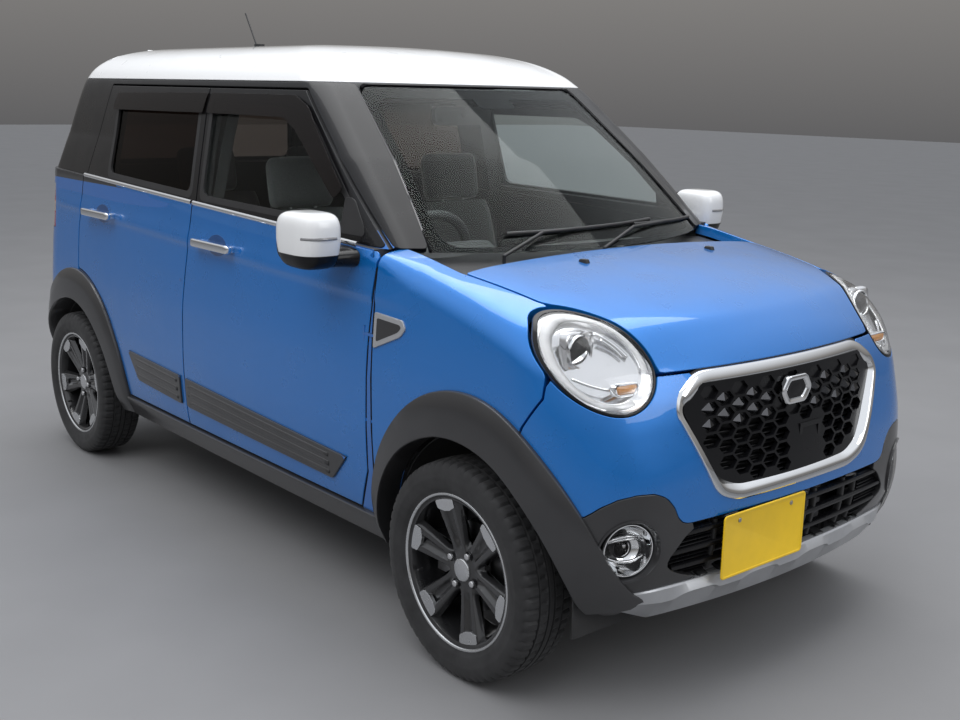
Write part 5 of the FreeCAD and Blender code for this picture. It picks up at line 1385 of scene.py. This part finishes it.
def fender_badge():
    """Plain five-sided garnish behind the front arch."""
    c = wing_chart(0.80, 0.97, 10.0, 35.0, 0.004)
    out = panel(c, convex(c.side, FENDER_BADGE, 0.006), off=0.0048, thick=0.006)
    return out.join(panel(c, convex(c.side, inset(FENDER_BADGE, 0.014), 0.004), off=0.0056, thick=0.002,
                          edge=0.0006, mat=1))


def flare(axle):
    """Band round an arch, proud of the body, with rolled edges and a leg on the door's side."""
    mid = axle + FLARE_SHIFT
    stations = []
    for a in np.radians(np.arange(180.0, -0.1, -2.5)):
        outer = (mid + FLARE_A * math.cos(a), TYRE_R + FLARE_B * math.sin(a))
        b = math.atan2(outer[1] - TYRE_R, outer[0] - axle)
        stations.append((outer, (axle + ARCH_R * math.cos(b), TYRE_R + ARCH_R * math.sin(b))))
    side = -1 if axle > 0 else 1
    leg = [((mid + side * FLARE_A, z), (axle + side * ARCH_R, z))
           for z in np.linspace(0.252, TYRE_R, 4, endpoint=False)]
    stations = leg + stations if axle > 0 else stations + leg[::-1]
    section = [(-0.004, -0.004), (-0.004, 0.006), (0.010, 0.0100), (0.035, 0.0120), (0.5, 0.0200),
               (0.90, 0.0260), (0.965, 0.0265), (0.992, 0.0235), (1.000, 0.0180), (1.000, -0.012),
               (0.985, -0.050)]
    outer, inner = np.array(stations).transpose(1, 0, 2)
    share, lift = np.array(section).T
    q, n = flank((outer[:, None] + (inner - outer)[:, None] * share[None, :, None]).reshape(-1, 2))
    s = q + unit(n * (1, 1, 0.35)) * np.tile(lift, len(stations))[:, None]
    s[:, 1] = np.maximum(s[:, 1], -0.7372)
    if axle > 0:
        s[:, 0] = np.where(s[:, 2] < 0.80, np.maximum(s[:, 0], 0.796), s[:, 0])
    return loft(list(s.reshape(len(stations), -1, 3)), caps=False, closed=False).faced(14, (0, -1, 0))


def mirror_unit():
    """Mirror on a foot: 0 white cap, 1 black shell, 2 mirror glass, 3 lamp along the front."""
    centre, half = np.array((0.652, -0.8075, 1.0875)), np.array((0.085, 0.0630, 0.0770))
    around, joint = 72, 17            # joint: the ring where cap and shell meet
    c, s = turn_of(around)
    rings = []
    for r in np.radians(np.linspace(-90, 90, 41)):
        cr, sr = power(math.cos(r), 0.42), power(math.sin(r), 0.50)
        pt = np.column_stack([power(c, 0.55) * cr, power(s, 0.50) * cr, np.full(around, sr)]) * half
        # the shell sweeps back toward its outer end and narrows toward its foot
        pt[:, 0] -= 0.020 * (pt[:, 1] < 0) * (pt[:, 1] / half[1]) ** 2
        foot = np.clip(-pt[:, 2] / half[2], 0, 1)
        pt[:, 0] *= 1.0 - 0.16 * foot
        pt[:, 1] *= 1.0 - 0.06 * foot
        rings.append(pt + centre)
    out = loft(rings, caps=False)
    out.m = [1 if i < joint * around else 0 for i in range(len(out.f))]
    out.join(tube(centre + (rings[joint] - centre) * (1.004, 1.004, 1.0), 0.0016, 6, 1, closed=True))
    c, s = turn_of(28)
    rings = [np.column_stack([x + w * power(c, 0.7), np.full(28, y), 1.036 + h * power(s, 0.7)])
             for y, x, w, h in ((-0.664, 0.655, 0.078, 0.032), (-0.700, 0.652, 0.070, 0.029),
                                (-0.730, 0.650, 0.062, 0.026), (-0.770, 0.650, 0.060, 0.025))]
    out.join(outward(loft(rings, 1)))
    # glass set into the back
    c, s = turn_of(40)
    back = centre[0] - half[0]
    rings = [np.column_stack([np.full(40, back + dx), centre[1] + w * power(c, 0.55),
                              centre[2] + h * power(s, 0.55)])
             for dx, w, h in ((0.0060, 0.054, 0.066), (-0.0012, 0.052, 0.064), (-0.0008, 0.049, 0.061),
                              (0.0010, 0.0485, 0.0605))]
    out.join(outward(loft(rings, 1)))
    out.join(outward(loft([rings[3] - (0.0002, 0, 0), rings[3] - (0.0006, 0, 0)], 2)))
    pts = []
    for t in np.linspace(0.25, 0.95, 16):
        a = (1 - 2 * t) * 0.98          # share of the half width
        x = centre[0] + half[0] * (1 - abs(a) ** 3.2) ** (1 / 3.2) * 0.985 - 0.020 * (a < 0) * a * a
        pts.append((x + 0.0015, centre[1] + half[1] * a, centre[2] + 0.010))
    return out.join(tube(pts, 0.0042, 8, 3))


HANDLE = [CHROME, SHADOW_BLUE]
FLARES = Mesh()
for part in (flare(AXLE_F), flare(AXLE_R)):
    FLARES.join(both(part))
done(both(pillars()), "pillar_skins", "body", [GLOSS_BLACK], ())
done(windscreen(), "windscreen_glass", "body", [GLASS, FRIT], ["windscreen"])
done(both(fender_badge()), "fender_garnishes", "body", [SILVER, CLAD], ())
done(FLARES, "flare_skins", "body", [CLAD], ["arch_flares"], 32.0)
for part, name, ride, mats, gone, slot in (
        (side_glass(FRONT_WINDOW, SAIL), "front_door_glass", "front", [GLASS, BLACK], ["glass_front"],
         "glass_clear"),
        (side_glass(REAR_WINDOW), "rear_door_glass", "rear", [TINT, BLACK], ["glass_rear"], "glass_dark"),
        (visor(VISOR_F), "front_visor", "front", [VISOR], (), "glass_dark"),
        (visor(VISOR_R), "rear_visor", "rear", [VISOR], (), "glass_dark"),
        (belt_strip(0.705, -0.252), "front_belt_trim", "front", [CHROME], (), "bright_trim"),
        (belt_strip(-0.266, -1.176), "rear_belt_trim", "rear", [CHROME], (), "bright_trim"),
        (handle(-0.190, 0.050, 0.985), "front_door_handle", "front", HANDLE, (), "bright_trim"),
        (handle(-1.100, -0.865, 1.005), "rear_door_handle", "rear", HANDLE, (), "bright_trim"),
        (garnish(GARNISH_F, -0.285, 0.585), "front_door_garnish", "front", [CLAD], (), "dark_grey_plastic"),
        (garnish(GARNISH_R, -0.705, -0.372), "rear_door_garnish", "rear", [CLAD], (), "dark_grey_plastic"),
        (mirror_unit(), "mirror_shell", "front", [WHITE, GLOSS_BLACK, MIRROR, LENS_SMOKE], ["mirror"],
         "roof_white")):
    two_sides(part, name, ride + "_door", mats, gone)


# ---------------------------------------------------------------- quarters, roof, sills
def quarter():
    c = FLANK
    gate_ = np.where(c.x > GATE_X, 9.0, -poly(c.front, GATE) - SHUT)
    return panel(c, meet([-poly(c.side, REAR_DOOR) - SHUT, belt(c.x) - BELT_GAP - c.z, -1.170 - c.x,
                          flare_out(c.side, AXLE_R, -0.020), gate_,
                          np.maximum(c.x + 1.545, c.z - BUMPER_TOP - SHUT),
                          np.maximum(c.x + 1.480, np.maximum(LAMP_LOW - c.z, c.z - LAMP_HIGH))]),
                 off=SKIN_OFF, thick=0.020)


def roof():
    p, n = UPPER_P[:, ::3], UPPER_N[:, ::3]
    # rows that close the crown
    mid = np.array((-0.600, 0.0, 1.6302))
    crown = np.array([mid + (p[-1] - mid) * k for k in (0.8, 0.6, 0.4, 0.2, 0.06)])
    p, n = np.concatenate([p, crown]), np.concatenate([n, np.broadcast_to((0.0, 0.0, 1.0), crown.shape)])
    c = Chart(np.concatenate([p, p[:, :1]], axis=1), np.concatenate([n, n[:, :1]], axis=1))
    g = meet([c.z - RAIL_Z - 0.004, np.maximum(c.x + 1.290, np.abs(c.y) - 0.506)])
    out = panel(c, g, off=0.0010, thick=0.028, inner=1)
    for mat, drop in ((0, -0.0008), (1, 0.0272)):
        flat_ = mid * (1, 1, 0)
        wide = flat_ + (crown[-1] - (0, 0, drop) - flat_) * (1.4, 1.4, 1.0)
        k = len(wide)
        out.add([*wide, wide.mean(axis=0)], [(i, (i + 1) % k, k) for i in range(k)],
                np.tile((0, 0, 1.0 - 2 * mat), (k + 1, 1)), mat)
    return out


def sill():
    c = side_chart(-0.84, 0.80, 0.247, 0.330, 0.006)
    return panel(c, meet([c.z - SILL_Z, SEAM_Z - SHUT - c.z], 0.004), off=0.0142, thick=0.016, edge=0.0050)


done(both(quarter()), "quarter_skins", "body", [BLUE])
done(roof(), "roof_skin", "body", [WHITE, HEADLINER], ["roof"])
done(both(sill()), "sill_skins", "body", [CLAD], ["sill_garnishes"])

# ---------------------------------------------------------------- tail and tailgate
TAIL_WAIST = belt(TAIL.x) - BELT_GAP - TAIL.z
OFF_GATE = -poly(TAIL.front, GATE) - SHUT
LAMP_BAND = np.minimum(TAIL.z - LAMP_LOW, LAMP_HIGH - TAIL.z)
TAIL_LAMP = meet([OFF_GATE, LAMP_BAND - 0.001, -1.482 - TAIL.x], 0.010)
REAR_BUMPER = meet([BUMPER_TOP - TAIL.z, TAIL.z - SILL_Z - 0.002, -1.540 - TAIL.x,
                    wheel_gap(TAIL.side, AXLE_R)])


def tail_corner():
    g = meet([TAIL_WAIST, OFF_GATE, TAIL.z - BUMPER_TOP - SHUT, -1.480 - TAIL.x, -LAMP_BAND - 0.002])
    return panel(TAIL, g, off=SKIN_OFF, thick=0.020)


def rear_bumper():
    """0 paint, 1 cladding, 2 inner face, 3 reflectors."""
    dark = convex(TAIL.front, mm((-620, 200), (620, 200), (520, 455), (-520, 455)), 0.03)
    out = panel(TAIL, np.minimum(REAR_BUMPER, -dark - 0.001), off=-0.0004, thick=0.026, inner=2)
    out.join(panel(TAIL, np.minimum(REAR_BUMPER, dark), off=-0.003, thick=0.022, mat=1, inner=2))
    for side in (1, -1):
        spot = mm((420, 385), (530, 385), (530, 415), (420, 415)) * (side, 1)
        out.join(panel(TAIL, np.minimum(convex(TAIL.front, spot, 0.008), REAR_BUMPER), off=-0.0005,
                       thick=0.004, edge=0.0015, mat=3))
    return out


def rear_lamps():
    """0 red, 2 amber."""
    band = np.minimum(TAIL.z - 0.968, 1.012 - TAIL.z)
    out = panel(TAIL, meet([TAIL_LAMP, -band]), off=0.0010, thick=0.022, edge=0.0020)
    return out.join(panel(TAIL, meet([TAIL_LAMP, band]), off=0.0004, thick=0.020, edge=0.0010, mat=2))


def tailgate():
    """0 paint, 1 black about the window, 2 white above it, 3 bright bar above the plate."""
    g = meet([poly(TAIL.front, GATE), TAIL_WAIST, TAIL.z - BUMPER_TOP - 0.002], 0.004)
    out = panel(TAIL, g, off=0.0006, thick=0.018)
    c = CABIN_ALL
    surround = meet([poly(c.front, GATE), c.z - belt(c.x) - WAIST_GAP, 1.448 - c.z,
                     -convex(c.front, GATE_WINDOW, 0.04), GATE_X - c.x])
    out.join(panel(c, surround, off=0.0010, thick=0.016, mat=1))
    top = meet([0.4995 - np.abs(c.y), c.z - 1.450, -1.2965 - c.x], 0.006)
    out.join(panel(c, top, off=0.0012, thick=0.014, mat=2))
    ys = np.linspace(-0.30, 0.30, 31)
    line = cast(np.column_stack([np.full(31, -1.2), ys, np.full(31, 0.905)]), (-1.0, 0.0, 0.0))
    return out.join(strip(line, -0.004, 0.016, 0.030, 3, out=(-1, 0, 0)))


def tailgate_window():
    c = CABIN_ALL
    behind = GATE_X - c.x
    pane = meet([convex(c.front, inset(GATE_WINDOW, -0.004), 0.04), behind])
    out = panel(c, pane, off=-0.0045, thick=0.0040, edge=0.0010, inner=0)
    frit = meet([pane - 0.001, -convex(c.front, inset(GATE_WINDOW, 0.022), 0.03), behind])
    return out.join(panel(c, frit, off=-0.0095, thick=0.0008, edge=0.0002, mat=1))


done(tail_corner(), "tail_corner_skins", "body", [BLUE], ())
done(rear_bumper(), "rear_bumper_skin", "body", [BLUE, CLAD, UNDER, RED], ["bumper_rear"])
done(rear_lamps(), "rear_lamp_units", "body", [RED, LENS, AMBER, BLACK], ["tail_lamps"])
done(tailgate(), "tailgate_skin", "tailgate", [BLUE, GLOSS_BLACK, WHITE, CHROME, CLAD], ())
done(tailgate_window(), "tailgate_window", "tailgate", [TINT, FRIT], ["tailgate_glass"])


# ---------------------------------------------------------------- cabin
def pad(stations, across):
    """Crowned cushion through stations: centre x, centre z, half width, half depth, tilt in degrees."""
    c, s = turn_of(48)
    rings = []
    for x, z, w, h, tilt in stations:
        u, v = power(c, 0.55) * w, power(s, 0.55) * h
        v = v + 0.10 * h * (1 - (u / w) ** 2) * np.sign(v)
        a = math.radians(tilt)
        rings.append(np.column_stack([x + v * math.cos(a), across + u, z + v * math.sin(a)]))
    return outward(loft(rings))


def swell(k, steep, start, least):
    """Share of full size near the ends of a cushion."""
    v = np.clip(np.minimum(k, 1 - k) * steep + start, least, 1)
    return np.sqrt(1 - (1 - v) ** 2)


def seat(y, wide, x, z):
    """Base and back of a seat."""
    k = np.linspace(0, 1, 15)
    r = swell(k, 7, 0.16, 0.10)
    base = np.column_stack([x + 0.46 * k - 0.02, z - 0.058 + 0.012 * k, wide * (0.90 + 0.10 * r),
                            0.066 * (0.35 + 0.65 * r), 90.0 + 0 * k])
    back = np.column_stack([x + 0.035 - 0.152 * k, z - 0.06 + 0.53 * k,
                            wide * (0.90 + 0.06 * r) * (1 - 0.10 * k), 0.058 * (0.35 + 0.65 * r),
                            16.0 + 0 * k])
    return pad(base, y).join(pad(back, y))


def head_pad(y, x, z):
    k = np.linspace(0, 1, 13)
    r = swell(k, 5, 0.12, 0.08)
    out = pad(np.column_stack([x - 0.03 * k, z + 0.165 * k, 0.118 * (0.80 + 0.20 * r),
                               0.042 * (0.30 + 0.70 * r), 14.0 + 0 * k]), y)
    for s in (-0.05, 0.05):
        out.join(tube([(x + 0.01, y + s, z - 0.07), (x, y + s, z + 0.03)], 0.006, 10, 1))
    return out


def dash():
    """0 dark plastic, 1 gloss black."""
    out = Mesh()
    for outline, low, high, bevel, segments, mat in (
            (mm((640, 880), (662, 705), (860, 645), (872, 984), (835, 1010), (760, 1020), (662, 990)),
             -0.640, 0.640, 0.018, 4, 0),
            (mm((590, 1000), (610, 930), (680, 930), (740, 1018), (680, 1052), (606, 1044)),
             -0.480, -0.190, 0.018, 3, 0),
            (mm((628, 1036), (640, 900), (660, 900), (650, 1046)), -0.120, 0.120, 0.006, 3, 1),
            (mm((560, 610), (640, 610), (660, 880), (630, 880)), -0.150, 0.150, 0.016, 3, 0)):
        out.join(solid(outline, (0, 2), low, high, bevel, segments, mat))
    out.join(box(0.630, 0.641, -0.62, -0.50, 0.925, 0.975, 0.006, 2, 1))
    out.join(box(0.630, 0.641, 0.50, 0.62, 0.925, 0.975, 0.006, 2, 1))
    return out.join(box(0.628, 0.642, 0.16, 0.62, 0.865, 0.925, 0.006))


def steering():
    """Hoop, hub, three spokes and column."""
    c, d = np.array((0.500, -0.330, 0.960)), unit(np.array((0.90, 0.0, -0.43)))
    up, side = np.array((-d[2], 0.0, d[0])), np.array((0.0, 1.0, 0.0))

    def way(a):
        return side * math.cos(a) + up * math.sin(a)
    turn = np.linspace(0, 2 * math.pi, 96, endpoint=False)
    out = tube([c + 0.180 * way(a) for a in turn], 0.0155, 16, 0, closed=True)
    hub = c + d * 0.030
    out.join(lathe([(0, -30), (45, -26), (64, -12), (66, 10), (50, 30)], 56, 0, frame_at(hub, d)))
    for a, w in ((0.0, 0.020), (math.pi, 0.020), (-math.pi / 2, 0.015)):
        u = way(a)
        out.join(tube([hub + u * 0.045, hub + u * 0.10 - d * 0.006, c + u * 0.176],
                      [w, w * 0.75, w * 0.6], 14, 1))
    return out.join(tube([hub, c + d * 0.150], [0.034, 0.030], 20, 0))


def inside_mirror():
    edge = rounded_ring(mm((-115, 1375), (115, 1375), (120, 1435), (-120, 1435)), 0.022, 6)
    return solid(edge, (1, 2), 0.286, 0.308, 0.006).join(
        tube([(0.308, 0.0, 1.405), (0.335, 0.0, 1.430), (0.345, 0.0, 1.448)], 0.009, 12, 0))


def washer_nozzles():
    out = Mesh()
    for y in (-0.26, 0.26):
        top = cast(np.array([(1.147, y, 0.8)]), (0.0, 0.0, 1.0))[0][2]
        edge = rounded_ring([(1.130, y - 0.012), (1.162, y - 0.009), (1.162, y + 0.009), (1.130, y + 0.012)],
                            0.006)
        out.join(solid(edge, (0, 1), top - 0.003, top + 0.008, 0.003, 3, taper=0.75))
    return out


for hand, sign in (("right", -1), ("left", 1)):
    for row, y, wide, x, z, pad_x, pad_z in (("front", 0.33, 0.205, -0.06, 0.60, -0.155, 1.085),
                                             ("rear", 0.25, 0.245, -0.88, 0.59, -0.985, 1.075)):
        done(seat(sign * y, wide, x, z), "seat_%s_%s" % (row, hand), "body", [CLOTH], (),
                       50.0)
        done(head_pad(sign * y, pad_x, pad_z), "head_pad_%s_%s" % (row, hand), "body", [CLOTH, STEEL], (),
             50.0)
SEAT_BASES = box(-0.04, 0.36, -0.495, -0.165, 0.30, 0.50, 0.02, 3).join(
    box(-0.04, 0.36, 0.165, 0.495, 0.30, 0.50, 0.02, 3))
done(SEAT_BASES, "seat_bases", "body", [CABIN], ["seats_front"])
done(box(-0.914, -0.47, -0.48, 0.48, 0.36, 0.50, 0.02, 3), "rear_seat_base", "body", [CABIN], ["seat_rear"])
done(dash(), "dash_form", "body", [CABIN, GLOSS_BLACK, BLUE, CHROME, GLOSS_BLACK], ["dashboard"])
done(steering(), "steering_hoop", "body", [CABIN, SILVER], ["steering_wheel"], 40.0)
done(inside_mirror(), "inside_mirror", "body", [BLACK], ())
done(washer_nozzles(), "washer_nozzles", "bonnet", [BLACK], ())


# ---------------------------------------------------------------- finishes of the solids that stay, with painted shade on the frames
def zoned(name, axis="Y", reach=0.14, cap=None):
    """Dark finish; on faces that look outward a darker copy of the body blue, painted shade, below the waist
    and black above it.
    cap: the height above which another colour lies, and that colour."""
    # blue: the body paint's blue darkened, painted shade on the frames seen between the panels
    blue, black, dark = (0.004, 0.110, 0.400), (0.006, 0.006, 0.007), (0.030, 0.030, 0.032)
    mat = material(name, dark, 0.6)

    def parted(source):
        n = node(mat, "ShaderNodeSeparateXYZ")
        link(mat, node(mat, "ShaderNodeTexCoord").outputs[source], n.inputs[0])
        return n.outputs

    def maths(kind, source, value):
        n = node(mat, "ShaderNodeMath", operation=kind)
        link(mat, source, n.inputs[0])
        if isinstance(value, float):
            n.inputs[1].default_value = value
        else:
            link(mat, value, n.inputs[1])
        return n.outputs[0]

    def mix(factor, a, b):
        n = node(mat, "ShaderNodeMix", data_type="RGBA")
        link(mat, factor, n.inputs[0])
        for k, v in ((6, a), (7, b)):
            if isinstance(v, tuple):
                n.inputs[k].default_value = (*v, 1.0)
            else:
                link(mat, v, n.inputs[k])
        return n.outputs[2]
    at, way = parted("Object"), parted("Normal")
    outer = maths("GREATER_THAN", maths("MULTIPLY", at[axis], way[axis]), reach)
    shade = [(spot, tuple(c * k for c in dark)) for spot, k in ((0.3, 0.88), (0.7, 1.1))]
    soft = ramp(mat, noise(mat, 14.0), shade)
    whole = mix(outer, soft, mix(maths("GREATER_THAN", at["Z"], 1.112), blue, black))
    if cap:
        whole = mix(maths("GREATER_THAN", at["Z"], cap[0]), whole, cap[1])
    for source, name_ in ((whole, "Base Color"), (outer, "Coat Weight"),
                          (mix(outer, (0.6, 0.6, 0.6), (0.3, 0.3, 0.3)), "Roughness")):
        link(mat, source, shader(mat).inputs[name_])
    return mat


for mat, names in (
        (zoned("side_frame_finish_and_painted_shade"), "side_frame_right side_frame_left"),
        (zoned("door_shell_finish_and_painted_shade"), "door_front_right door_front_left door_rear_right door_rear_left"),
        (zoned("tailgate_shell_finish_and_painted_shade", "X", 0.30, (1.47, (0.86, 0.87, 0.88))), "tailgate"),
        (UNDER, "floor_pan front_subframe rear_axle wheel_liners"), (BLACK, "firewall wipers antenna"),
        (IRON, "engine_block"), (STEEL, "knuckle_front_right knuckle_front_left"),
        (GLOSS_BLACK, "grille_mesh")):
    for name in names.split():
        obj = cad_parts[name]
        for spot in obj.material_slots:
            spot.material = mat
        if not obj.material_slots:
            obj.data.materials.append(mat)


# ---------------------------------------------------------------- wheels
def tyre():
    """Tread with four grooves and cross cuts, shoulders with lugs, walls with a rim guard."""
    half = [(-66, 192.5), (-69, 200), (-72.5, 211), (-76, 216), (-78, 221), (-80, 232), (-81.5, 242),
            (-82.2, 246), (-81.7, 250), (-80.5, 260), (-78, 269), (-75, 275.5), (-71.5, 280.5), (-69, 282.8),
            (-65, 284.6)]
    half += [(-a, 289.4 - 0.0009775 * a * a)
             for a in (61, 54, 46, 41.5, 40.5, 36.5, 35.5, 30, 23, 16, 12.5, 11.5, 7.5, 6.5, 3)]
    s, top = mm(*half, *[(-a, r) for a, r in reversed(half)]).T
    wide = np.abs(s)
    top = top - 0.0062 * ((np.abs(wide - 0.0385) < 0.0021) | (np.abs(wide - 0.0095) < 0.0021))
    turns = 240
    radius = np.tile(top, (turns, 1))
    block = (wide > 0.041) & (wide < 0.0760) & (radius[0] > 0.274)
    centre = (wide > 0.0125) & (wide < 0.0355)
    radius[0::4] -= block * 0.0050
    radius[2::4] -= centre * 0.0045
    c, si = (t[:, None] for t in turn_of(turns))
    v = np.stack([radius * c, np.broadcast_to(s, radius.shape), radius * si], -1)
    return Mesh().add(v, [(a, d, e, b) for a, b, e, d in quads(turns, len(s), closed=True)])


def wheel_face():
    """Six two-ridged spokes from a dished hub, each with a shield on its end: 0 black, 1 machined."""
    r, a = mesh_over(0.030, 0.1905, 40, math.radians(-30.0), math.radians(30.0), 49)
    t = r * np.sin(a)
    dish = 0.0405 + 0.0215 * ramped(r, 0.045, 0.14) ** 1.1
    spread = ramped(r, 0.07, 0.11)
    u = np.abs(t) / (0.0275 + 0.0165 * spread)
    fade = ramped(r, 0.052, 0.028)
    groove = 0.0120 * np.clip(1 - (u / 0.42) ** 2, 0, 1) * fade * np.clip((0.178 - r) / 0.012, 0, 1)
    h = (dish + 0.004 * np.clip((0.05 - r) / 0.02, 0, 1) - groove
         - 0.014 * np.clip((u - 0.80) / 0.2, 0, 1.4) ** 1.5 * fade)
    p = np.stack([r * np.cos(a), h, t], -1)
    n = grid_normals(p, False)
    face = Chart(p, n if n[..., 1].mean() > 0 else -n)
    hub, arm, blend = 0.071 - r, 0.0295 + 0.0180 * spread - np.abs(t), 0.014
    k = np.clip(0.5 + 0.5 * (arm - hub) / blend, 0, 1)
    g = np.maximum(hub * (1 - k) + arm * k + blend * k * (1 - k), r - 0.1855)
    sixth = panel(face, g, thick=0.030, edge=0.0016, inner=0)
    shield = meet([0.0335 + 0.10 * (r - 0.16) - np.abs(t), 0.1890 - r,
                   r - 0.1565 - 0.45 * np.clip(np.abs(t) - 0.010, 0, 1)])
    smooth = Chart(np.stack([p[..., 0], dish, t], -1), np.broadcast_to((0.0, 1.0, 0.0), p.shape))
    sixth.join(panel(smooth, shield, off=0.0030, thick=0.010, edge=0.0006, mat=1))
    out = Mesh()
    for i in range(6):
        out.join(sixth, matrix=Matrix.Rotation(math.radians(60.0 * i + 30.0), 4, "Y"))
    return out


def rim():
    """0 black, 1 machined, 2 steel, 3 dark recess."""
    out = wheel_face()
    # barrel, outer lip, bright lip, inner lip, hub, cap and the ring about it
    for profile, count, mat in (
            ([(182.5, -68), (179, -30), (180, 0), (183.5, 20), (187, 56), (190.5, 64)], 120, 0),
            ([(189, 64), (193, 66.2), (197.5, 66.8)], 144, 0),
            ([(206.8, 69), (206.6, 71.2), (205, 72.2), (201, 71.8), (199, 70), (198, 66.8)], 144, 1),
            ([(182, -60), (183, -70), (203, -77.2), (206.8, -76.8), (206.5, -74), (192.5, -70)], 96, 0),
            ([(70, 6), (70, 28)], 72, 0),
            ([(30.5, 36), (30.5, 45.5), (29.2, 47.8), (26.8, 48.6), (20, 49.4), (10, 49.9), (0, 50)], 64, 1),
            ([(33.6, 38), (33.6, 44.6), (32.2, 45.2), (30.6, 44.4)], 64, 0)):
        out.join(lathe(profile, count, mat, frame_at((0, 0, 0), (0, 1, 0))))
    for a in np.radians((45.0, 135.0, 225.0, 315.0)):
        spot = frame_at((0.050 * math.cos(a), 0.0, 0.050 * math.sin(a)), (0, 1, 0))
        out.join(lathe([(12.8, 44.5), (12.8, 40), (0, 40)], 24, 3, spot))
        out.join(lathe([(9.8, 38), (9.8, 50), (8.8, 52), (6, 53), (0, 53.2)], 6, 2, spot))
    valve = frame_at((0.178, 0, 0), (-0.25, 1, 0))
    return out.join(lathe([(4, 52), (4, 70), (3, 72), (0, 72.2)], 12, 3, valve))


TYRE, RIM = tyre(), rim()
for axle, spot, turned in ((AXLE_F, "front", 17.0), (AXLE_R, "rear", 41.0)):
    for hand, sign in (("right", -1), ("left", 1)):
        place = (Matrix.Translation((axle, sign * WHEEL_Y, TYRE_R))
                 @ Matrix.Rotation(math.pi * (sign < 0), 4, "Z")
                 @ Matrix.Rotation(math.radians(turned), 4, "Y"))
        end = "_%s_%s" % (spot, hand)
        ride = "%s_wheel_%s" % (spot, hand)
        done(Mesh().join(TYRE, matrix=place), "tyre_detail" + end, ride, [RUBBER], ["tyre" + end],
             30.0)
        done(Mesh().join(RIM, matrix=place), "rim_detail" + end, ride, [ALLOY, CUT, STEEL_BRIGHT, BLACK],
             ["rim" + end], 32.0)
